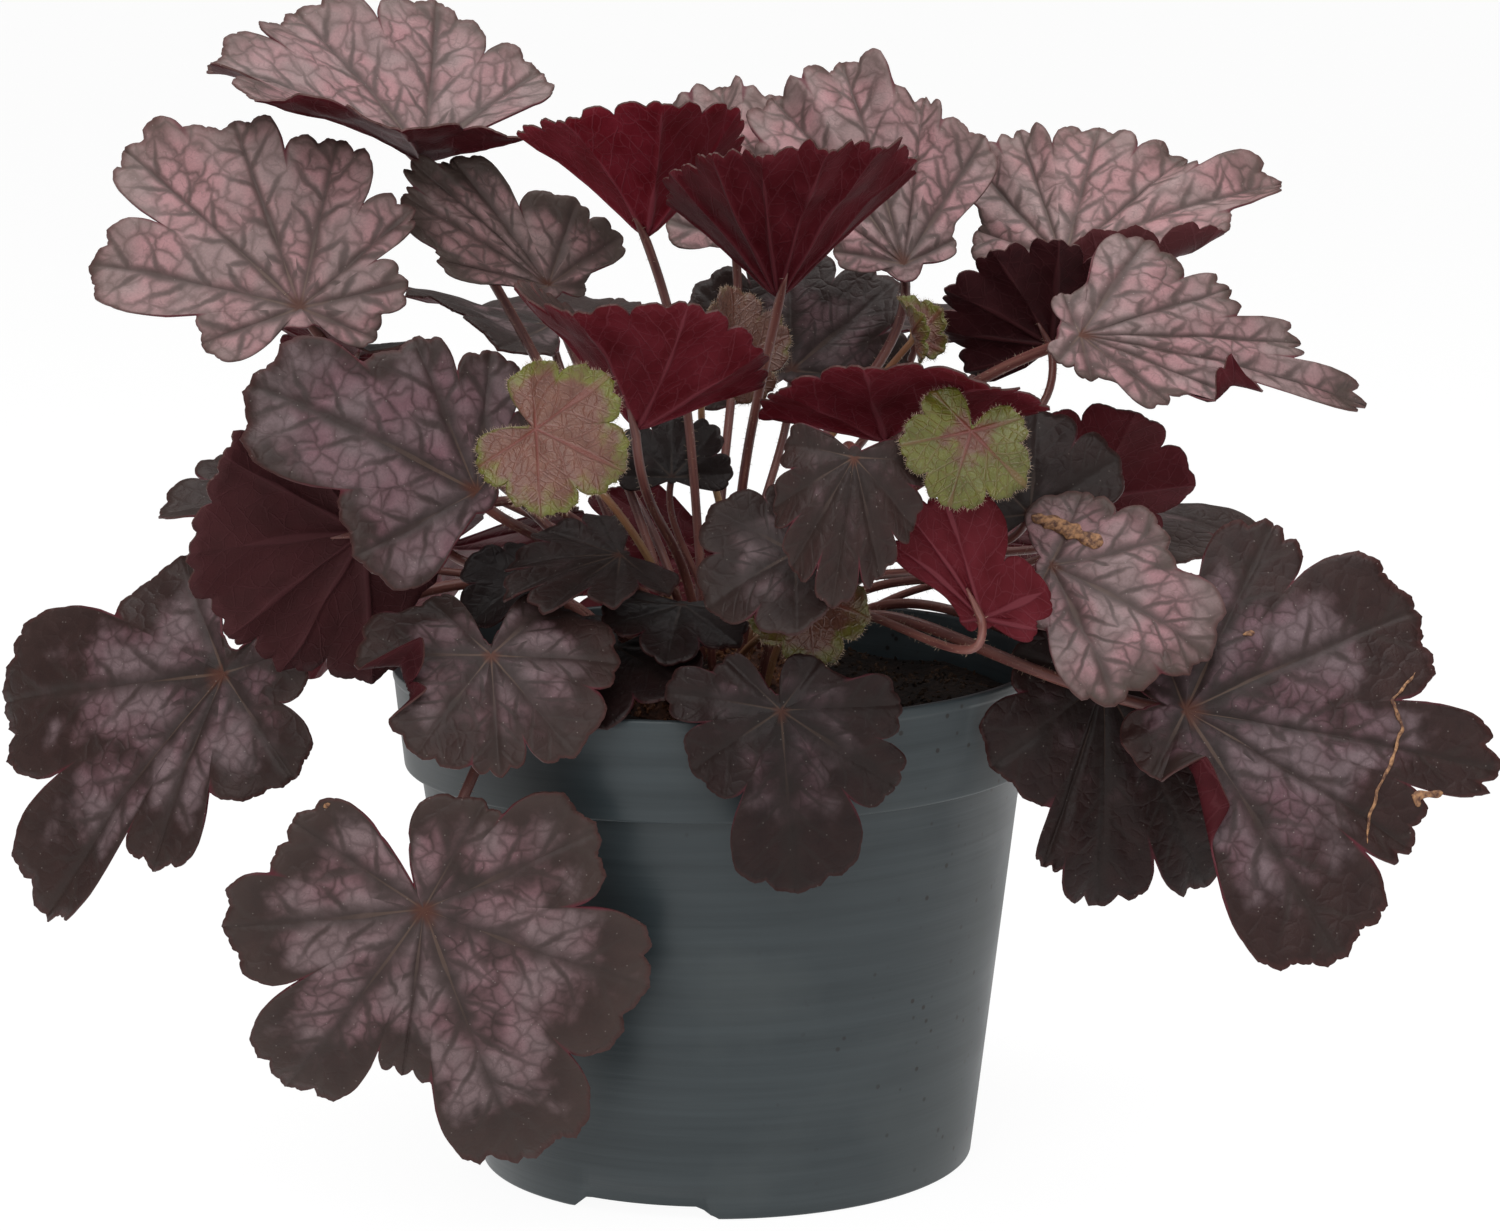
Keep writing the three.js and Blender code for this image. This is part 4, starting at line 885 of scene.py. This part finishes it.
def roundedProfile(corners, radius, steps=4):
    # replaces each inner corner of a [radius, height] line by a small arc
    out = [corners[0]]
    for corner in zip(corners, corners[1:], corners[2:]):
        before, here, following = (np.array(p, float) for p in corner)
        toBefore, toNext = before - here, following - here
        reach = min(radius, np.linalg.norm(toBefore) * 0.4, np.linalg.norm(toNext) * 0.4)
        start, end = here + unit(toBefore) * reach, here + unit(toNext) * reach
        for t in np.linspace(0, 1, steps):
            out.append(tuple((1 - t) ** 2 * start + 2 * t * (1 - t) * here + t**2 * end))
    return out + [corners[-1]]


def splitProfile(profile, longest):
    # adds points so that no stretch is longer than this
    out = [profile[0]]
    for a, b in zip(profile, profile[1:]):
        parts = max(1, math.ceil(math.dist(a, b) / longest))
        out += [tuple(p + (q - p) * k / parts for p, q in zip(a, b)) for k in range(1, parts + 1)]
    return out


def turnedMesh(profile, segments):
    # a body about Z from a profile that starts and ends on the axis
    turns = np.arange(segments) * 2 * math.pi / segments
    rows = profile[1:-1]
    points = [(0, 0, profile[0][1])]
    points += [(r * math.cos(a), r * math.sin(a), z) for r, z in rows for a in turns]
    points.append((0, 0, profile[-1][1]))
    faces, last = [], len(points) - 1
    top = last - segments
    for s in range(segments):
        t = (s + 1) % segments
        faces.append([0, 1 + t, 1 + s])
        faces += [[a + s, a + t, a + segments + t, a + segments + s] for a in range(1, top, segments)]
        faces.append([top + s, top + t, last])
    return np.array(points, float), faces


def applied(piece):
    # the piece's modifiers become its mesh
    bpy.context.view_layer.update()
    shape = bpy.data.meshes.new_from_object(piece.evaluated_get(bpy.context.evaluated_depsgraph_get()))
    piece.modifiers.clear()
    old = piece.data
    piece.data = shape
    shape.name = piece.name
    bpy.data.meshes.remove(old)


def potMaterial():
    # Polypropylene, moulded from reclaimed stock: slate blue-green, satin, with flow streaks round the wall
    add, finish = newMaterial("mouldedPolypropylene")
    place = add("TexCoord").outputs["Object"]
    stretch = add("Mapping", {"Vector": place, "Scale": (9, 9, 260)})  # streaks 4 mm apart
    streak = add("TexNoise", stretch, 1, 4, 0.6)
    fine = add("TexNoise", add("Mapping", {"Vector": place, "Scale": (22, 22, 1100)}), 1, 2)  # and 1 mm
    blotch = add("TexNoise", place, 26, 4)
    body = add("Mix RGBA", add("MapRange", streak, 0.35, 0.68), "#30383b", "#252d30")
    body = add("Mix RGBA", add("MapRange", blotch, 0.5, 0.72, 0, 0.35), body, "#464b4b")
    # soil dried on in specks, more of them on the right of the wall
    speck = add("MapRange", add("TexVoronoi", place, 210), 0.09, 0.17, 1, 0)
    right = add("MapRange", add("SeparateXYZ", place).outputs["X"], 0.02, 0.075, 0, 0.28)
    amount = add("MapRange", add("Math ADD", add("TexNoise", place, 38, 3), right), 0.6, 0.7)
    body = add("Mix RGBA", add("Math MULTIPLY", speck, amount), body, "#120d0a")
    rough = add("MapRange", blotch, 0.3, 0.7, 0.36, 0.5)
    height = add("Math MULTIPLY_ADD", fine, 0.5, streak)
    return finish({"Base Color": body, "Roughness": rough, "Specular IOR Level": 0.4}, height, 0.25, 0.0004)


def makePot():
    s = potSettings
    wall, height, rim, seat = s["wall"], s["height"], s["rimRadius"], s["seatRadius"]
    collarFoot = height - s["collarHeight"]
    slope = (s["bodyTopRadius"] - s["footRadius"]) / collarFoot
    wallAt = lambda z: s["footRadius"] + slope * z
    channel, ringIn = s["channelHeight"], s["footRadius"] - s["footRingWidth"]
    # from the middle of the base out and up the wall, over the rim, and down the inside
    corners = [
        (0, 0), (seat, 0), (seat + 3, channel), (ringIn, channel), (ringIn, 0), (s["footRadius"], 0),
        (wallAt(collarFoot), collarFoot - 0.4), (s["collarFootRadius"], collarFoot), (rim - 0.3, height - 3),
        (rim, height - 2.4), (rim, height), (rim - 2.2, height), (s["collarFootRadius"] - wall, collarFoot + 2.5),
        (wallAt(collarFoot) - wall, collarFoot - 2), (wallAt(channel) - wall, channel + wall),
        (seat + 2.4, channel + wall), (seat - 0.6, wall), (0, wall),
    ]
    points, faces = turnedMesh(splitProfile(roundedProfile(corners, s["edgeRounding"]), 12), s["segments"])
    # breaks in the foot ring
    half = s["footRadius"] * math.tan(math.radians(15)) + s["notchSlope"] / 2
    flat, turn = np.hypot(points[:, 0], points[:, 1]), np.arctan2(points[:, 1], points[:, 0])
    for i in range(s["notchCount"]):
        off = turn - math.radians(s["notchFirstDeg"] + 360 * i / s["notchCount"])
        across = np.abs(flat * np.sin(off))
        lift = s["notchHeight"] * np.clip((half - across) / s["notchSlope"], 0, 1) * (np.cos(off) > 0)
        ring = (flat > ringIn - 0.05) & (points[:, 2] < s["notchHeight"])
        points[:, 2] = np.where(ring, np.maximum(points[:, 2], lift), points[:, 2])
    pot = newPiece("nurseryPot", points, faces, [potMaterial()])
    # drain holes through the raised part of the floor
    holes, holeFaces, sides = [], [], s["drainSides"]
    for i in range(s["drainCount"]):
        aim = 2 * math.pi * (i + 0.5) / s["drainCount"]
        x, y = s["drainCircle"] * math.cos(aim), s["drainCircle"] * math.sin(aim)
        low = [len(holes) + k for k in range(sides)]
        ring = [2 * math.pi * k / sides for k in range(sides)]
        ring = [(x + s["drainRadius"] * math.cos(a), y + s["drainRadius"] * math.sin(a)) for a in ring]
        holes += [(*point, z) for z in (1, 8) for point in ring]
        holeFaces += [[a, b, b + sides, a + sides] for a, b in zip(low, low[1:] + low[:1])]
        holeFaces += [low[::-1], [k + sides for k in low]]
    cutters = newPiece("drainCutters", holes, holeFaces, smooth=False)
    cut = pot.modifiers.new("drains", "BOOLEAN")
    cut.operation = "DIFFERENCE"
    cut.object = cutters
    applied(pot)
    bpy.data.meshes.remove(cutters.data)
    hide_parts("pot")
    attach(pot, root)


makePot()
report("pot")


# ---- soil and crown ----

soilSettings = {
    "top": 121,
    "edgeDip": 2.5,
    "segments": 120,
    "crumbsPerSquareMetre": 95000,
    "crumbSize": 1.6,
    "seed": 4,
}
crownSettings = {
    "bottom": 114,
    "segments": 96,
    "scalesPerSquareMetre": 150000,
    "scaleSize": 2.2,
    "seed": 9,
}


def soilMaterial(name, low, high, rough):
    # Moist peat mix, and with other colours woody crown and papery scales: fibrous, mottled in crumbs
    add, finish = newMaterial(name)
    place = add("TexCoord").outputs["Object"]
    crumb = add("TexNoise", place, 620, 4)  # 1.6 mm
    mix = add("MapRange", add("Math MULTIPLY", crumb, add("TexNoise", place, 90, 2)), 0.15, 0.36)
    body = add("Mix RGBA", mix, low, high)
    return finish({"Base Color": body, "Roughness": rough, "Specular IOR Level": 0.15}, crumb, 0.9, 0.0012)


def scatterTree(name, material, hairs=False):
    # on the faces of a mesh: crumbs at random turns and sizes, or hairs that stand up and lean a little
    tree = bpy.data.node_groups.new(name, "GeometryNodeTree")
    for label, way, kind in (
        ("Geometry", "INPUT", "Geometry"),
        ("Geometry", "OUTPUT", "Geometry"),
        ("Density", "INPUT", "Float"),
        ("Size", "INPUT", "Float"),
        ("Seed", "INPUT", "Int"),
    ):
        tree.interface.new_socket(label, in_out=way, socket_type="NodeSocket" + kind)
    add = functools.partial(addNode, tree)
    start, end = add("NodeGroupInput").outputs, add("NodeGroupOutput")
    seed = {"Seed": start["Seed"]}
    spread = {"Mesh": start["Geometry"], "Density": start["Density"], **seed}
    points = add("GeometryNodeDistributePointsOnFaces", spread)
    between = lambda low, high: add("FunctionNodeRandomValue FLOAT_VECTOR", {"Min": low, "Max": high, **seed})
    if hairs:
        single = add("GeometryNodeMeshCone", {"Vertices": 3, "Radius Bottom": 0.05, "Depth": 1}, fill_type="NONE")
        lean = add("FunctionNodeEulerToRotation", between((-0.6, -0.6, 0), (0.6, 0.6, 6.28)))
        turn = add("FunctionNodeRotateRotation", points.outputs["Rotation"], lean, rotation_space="LOCAL")
        shape = between((0.9, 0.9, 0.5), (1, 1, 1))
    else:
        single = add("GeometryNodeMeshIcoSphere", {"Radius": 1, "Subdivisions": 1})
        turn = between((0, 0, 0), (6.28, 6.28, 6.28))
        shape = between((0.25, 0.2, 0.15), (1, 0.7, 0.5))
    size = add("VectorMath SCALE", shape, start["Size"])
    places = {"Points": points, "Instance": single, "Rotation": turn, "Scale": size}
    copies = add("GeometryNodeInstanceOnPoints", places)
    solid = add("GeometryNodeRealizeInstances", copies)
    setInputs(end, [add("GeometryNodeSetMaterial", {"Geometry": solid, "Material": material})])
    return tree


def grown(piece, tree, density, size, seed):
    # runs the node tree on the piece's mesh and keeps the result as a plain mesh
    modifier = piece.modifiers.new(tree.name, "NODES")
    modifier.node_group = tree
    values = {"Density": density, "Size": size * mm, "Seed": seed}
    for item in tree.interface.items_tree:
        if item.in_out == "INPUT" and item.name in values:
            modifier[item.identifier] = values[item.name]
    applied(piece)


def makeSoil():
    s = soilSettings
    top, edge = s["top"], s["top"] - s["edgeDip"]
    collarFoot = potSettings["height"] - potSettings["collarHeight"]
    bottom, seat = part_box("soil")[0].z / mm, potSettings["seatRadius"]
    rim = potSettings["collarFootRadius"] - potSettings["wall"] - 0.5
    # up the inside of the pot, over the surface and down into the crown's bowl
    corners = [
        (0, bottom), (seat - 1, bottom), (seat + 2, 5.7), (62.1, 5.7), (76.2, collarFoot - 3),
        (76.2, collarFoot + 1), (rim - 0.4, collarFoot + 4), (rim, edge), (66, edge + 1.5), (48, top),
        (30.5, top - 0.5), (30.3, 113.7), (0, 113.7),
    ]
    points, faces = turnedMesh(splitProfile(corners, 3), s["segments"])
    x, y = points[:, 0], points[:, 1]
    flat = np.hypot(x, y)
    onTop = (points[:, 2] > edge - 0.1) & (flat > 31)
    relief = 0.9 * (np.sin(x * 0.21 + 1) + np.sin(y * 0.17 + x * 0.09))
    relief = relief + 0.5 * ripple(5, x, y, 6) + 0.3 * ripple(6, x, y, 2.5)
    points[:, 2] += np.where(onTop, relief * np.clip((rim - flat) / 2 + 0.3, 0, 1), 0)
    soil = newPiece("pottingSoil", points, faces, [soilMaterial("moistPeat", "#090605", "#1c130e", 0.9)])
    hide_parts("soil")
    # crumbs lie on the top only
    kept = [face for face in faces if all(onTop[p] for p in face) and max(flat[p] for p in face) < rim - 1.5]
    crumbs = newPiece("soilCrumbs", points, kept)
    tree = scatterTree("scatterCrumbs", soilMaterial("peatCrumbs", "#0f0a08", "#37281d", 0.85))
    grown(crumbs, tree, s["crumbsPerSquareMetre"], s["crumbSize"], s["seed"])
    for piece in (soil, crumbs):
        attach(piece, root)


def makeCrown():
    # a low knobbly mound of stem bases, with papery scales
    s, radius = crownSettings, plantSettings["crownRadius"]
    shoulder = [(radius * k, crownHeight(radius * k) - 0.6) for k in (1, 0.95, 0.85, 0.7, 0.55, 0.4, 0.2, 0)]
    profile = [(0, s["bottom"]), (radius - 2, s["bottom"]), *shoulder]
    points, faces = turnedMesh(splitProfile(profile, 2), s["segments"])
    x, y = points[:, 0], points[:, 1]
    above = points[:, 2] > s["bottom"] + 5
    points[:, 2] += np.where(above, 0.8 * ripple(8, x, y, 9) + 0.5 * ripple(9, x, y, 4) - 0.3, 0)
    crown = newPiece("crownMound", points, faces, [soilMaterial("heucheraCrownBark", "#1d0f0b", "#4f3326", 0.8)])
    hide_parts("crown")
    scales = newPiece("crownScales", points, [face for face in faces if all(above[p] for p in face)])
    tree = scatterTree("scatterScales", soilMaterial("dryStipules", "#3a2016", "#7a5238", 0.75))
    grown(scales, tree, s["scalesPerSquareMetre"], s["scaleSize"], s["seed"])
    for piece in (crown, scales):
        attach(piece, root)


makeSoil()
makeCrown()
report("soil and crown")


# ---- hairs ----

hairSettings = {
    "stalkPerSquareMetre": 220000,
    "stalkHair": 1.3,
    "stalkSeed": 3,
    "marginPerSquareMetre": 6000000,
    "marginHair": 1.3,
    "marginSeed": 5,
}


def hairMaterial():
    # Plant hair: hollow and colourless, a pale glint beside the stalk
    add, finish = newMaterial("leafHair")
    drift = add("TexNoise", add("TexCoord").outputs["Object"], 120, 1)
    return finish({"Base Color": add("Mix RGBA", drift, "#7c6054", "#b9a68c"), "Roughness": 0.5})


def makeHairs():
    s = hairSettings
    skin = hairMaterial()
    points, faces = [], []
    for leaf in leafPieces:
        stalk, stalkFaces, _ = makeStalk(leaf)
        faces += [[p + len(points) for p in face] for face in stalkFaces if len(face) == 4]
        points += stalk.tolist()
    hairs = newPiece("stalkHairs", points, faces)
    tree = scatterTree("growStalkHairs", skin, True)
    grown(hairs, tree, s["stalkPerSquareMetre"], s["stalkHair"], s["stalkSeed"])
    points, faces = [], []
    for mesh in (piece.data for leaf, piece in zip(leafPieces, leafObjects) if leaf["young"]):
        faces += [[p + len(points) for p in face.vertices] for face in mesh.polygons if not face.use_smooth]
        points += [tuple(vertex.co / mm) for vertex in mesh.vertices]
    fringe = newPiece("youngLeafHairs", points, faces)
    tree = scatterTree("growMarginHairs", skin, True)
    grown(fringe, tree, s["marginPerSquareMetre"], s["marginHair"], s["marginSeed"])
    for piece, slot in ((hairs, "leaf"), (fringe, "young_leaf")):
        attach(piece, root)


makeHairs()
report("hairs")


# ---- dry scars ----

scarSettings = {
    # the leaf, width and rise in mm, and (degrees from its midrib, share of its size) along the scar
    "scars": [
        ("right_most", 1, 0.2, [(-28, 0.79), (-21, 0.75), (-13, 0.72), (-5, 0.7), (6, 0.68), (14, 0.7),
            (20, 0.735)]),
        ("right_most", 2.6, 0.25, [(0, 0.92), (3, 0.95), (5, 0.985)]),
        ("right_most", 1.8, 0.25, [(-70, 0.33), (-66, 0.36)]),
        ("right_pale", 5.5, 0.7, [(-145, 0.4), (-132, 0.34), (-107, 0.27), (-79, 0.27), (-63, 0.33)]),
        ("bottom_left", 1.3, 0.35, [(160, 0.7), (157, 0.64)]),
    ],
    "step": 0.5,
    "gap": 0.45,
    "columns": 6,
}


def scarMaterial():
    # Dead leaf tissue: papery, mottled tan and brown
    add, finish = newMaterial("dryLeafTissue")
    grain = add("TexNoise", add("TexCoord").outputs["Object"], 700, 3)
    skin = add("Mix RGBA", add("MapRange", grain, 0.38, 0.62), "#4a2a1c", "#a07550")
    return finish({"Base Color": skin, "Roughness": 0.7})


def makeScars():
    # flat-bottomed crumpled strips that stand a little out of the blades
    s = scarSettings
    points, faces = [], []
    across = np.linspace(-1, 1, s["columns"])
    for number, (name, width, rise, path) in enumerate(s["scars"]):
        leaf = next(leaf for leaf in leafPieces if leaf["name"] == name)
        turn = np.radians([turn for turn, _ in path])
        away = np.minimum([share for _, share in path], margin(leaf, turn) - 0.03) * leaf["size"]
        ends = np.stack([np.sin(turn), np.cos(turn)], 1) * away[:, None]
        gone = pathLengths(ends)
        along = np.linspace(0, gone[-1], max(5, int(gone[-1] / s["step"])))
        line = np.stack([np.interp(along, gone, ends[:, 0]), np.interp(along, gone, ends[:, 1])], 1)
        way = np.gradient(line, axis=0)
        way /= np.linalg.norm(way, axis=1)[:, None]
        taper = np.sqrt(np.clip(1 - (2 * along / gone[-1] - 1) ** 6, 0.05, 1))
        half = width / 2 * taper * (0.75 + 0.35 * ripple(number + 11, along, along * 0, 4.5))
        shift = 0.4 * ripple(number + 23, along, along * 0, 6)
        off = half[:, None] * across + shift[:, None]
        u, v = (line[:, :1] + way[:, 1:] * off).ravel(), (line[:, 1:] - way[:, :1] * off).ravel()
        angles, reach = np.arctan2(u, v), np.hypot(u, v)
        skin = cushions(leaf, angles, reach, reach / (margin(leaf, angles) * leaf["size"]))
        crumple = np.clip(0.6 + 0.5 * ripple(number + 37, u, v, 2.2), 0.1, 2)
        crest = np.tile(1 - 0.8 * across**2, len(along))
        top = onLeaf(leaf, u, v, skin + s["gap"] + rise * crest * crumple)
        foot = onLeaf(leaf, u, v, skin)
        grid = np.arange(u.size).reshape(len(along), -1)
        quads = np.stack([grid[:-1, :-1], grid[:-1, 1:], grid[1:, 1:], grid[1:, :-1]], -1).reshape(-1, 4)
        edge = np.concatenate([grid[0, :-1], grid[:-1, -1], grid[-1, :0:-1], grid[:0:-1, 0]])
        after = np.roll(edge, -1)
        walls = np.stack([after, edge, edge + u.size, after + u.size], 1)
        faces += (np.concatenate([quads, quads[:, ::-1] + u.size, walls]) + len(points)).tolist()
        points += top.tolist() + foot.tolist()
    scars = newPiece("dryScars", points, faces, [scarMaterial()])
    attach(scars, root)


makeScars()
report("scars")


# ---- studio ----

studioSettings = {
    "lights": [  # name, place and aim in metres, size, power in watts
        ("keyLight", (-0.35, -1.3, 1.1), (0, 0, 0.18), 1.4, 15),
        ("fillLight", (1.0, -0.9, 0.7), (0, 0, 0.18), 1.0, 4),
        ("topLight", (0.0, 0.1, 1.7), (0, 0, 0), 1.8, 27),
    ],
    "skyLight": 0.21,
    "floorGlow": 0.94,
    "cameraPlace": (0.0079, -1.18, 0.355),
    "cameraDown": 10.2,
    "cameraRoll": -0.73,
    "sensor": 36,
    "focalLength": 110.808,
}


def makeStudio():
    s = studioSettings
    corners = [(-6000, -4000, -0.2), (6000, -4000, -0.2), (6000, 8000, -0.2), (-6000, 8000, -0.2)]
    finish = newMaterial("matWhiteFloor")[1]
    glow = {"Emission Color": "#ffffff", "Emission Strength": s["floorGlow"]}
    white = finish({"Base Color": "#4a4a4a", "Roughness": 0.8, **glow})
    newPiece("studioFloor", corners, [[0, 1, 2, 3]], [white])
    world = bpy.data.worlds.new("studioWorld")
    bpy.context.scene.world = world
    world.use_nodes = True
    seen = addNode(world.node_tree, "LightPath").outputs["Is Camera Ray"]
    # white to look at, dimmer as a light
    strength = addNode(world.node_tree, "MapRange", seen, 0, 1, s["skyLight"])
    setInputs(world.node_tree.nodes["Background"], {"Color": "#ffffff", "Strength": strength})
    for name, place, aim, size, power in s["lights"]:
        light = newObject(name, bpy.data.lights.new(name, "AREA"))
        light.data.size = size
        light.data.energy = power
        light.location = place
        light.rotation_euler = (Vector(aim) - Vector(place)).to_track_quat("-Z", "Y").to_euler()
    camera = newObject("camera", bpy.data.cameras.new("camera"))
    camera.data.sensor_width = s["sensor"]
    camera.data.lens = s["focalLength"]
    camera.data.clip_end = 30
    camera.location = s["cameraPlace"]
    camera.rotation_euler = (math.radians(90 - s["cameraDown"]), 0, 0)
    camera.rotation_euler.rotate_axis("Z", math.radians(s["cameraRoll"]))
    bpy.context.scene.camera = camera
    bpy.context.scene.view_settings.view_transform = "Standard"


makeStudio()
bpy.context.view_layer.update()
report("done")
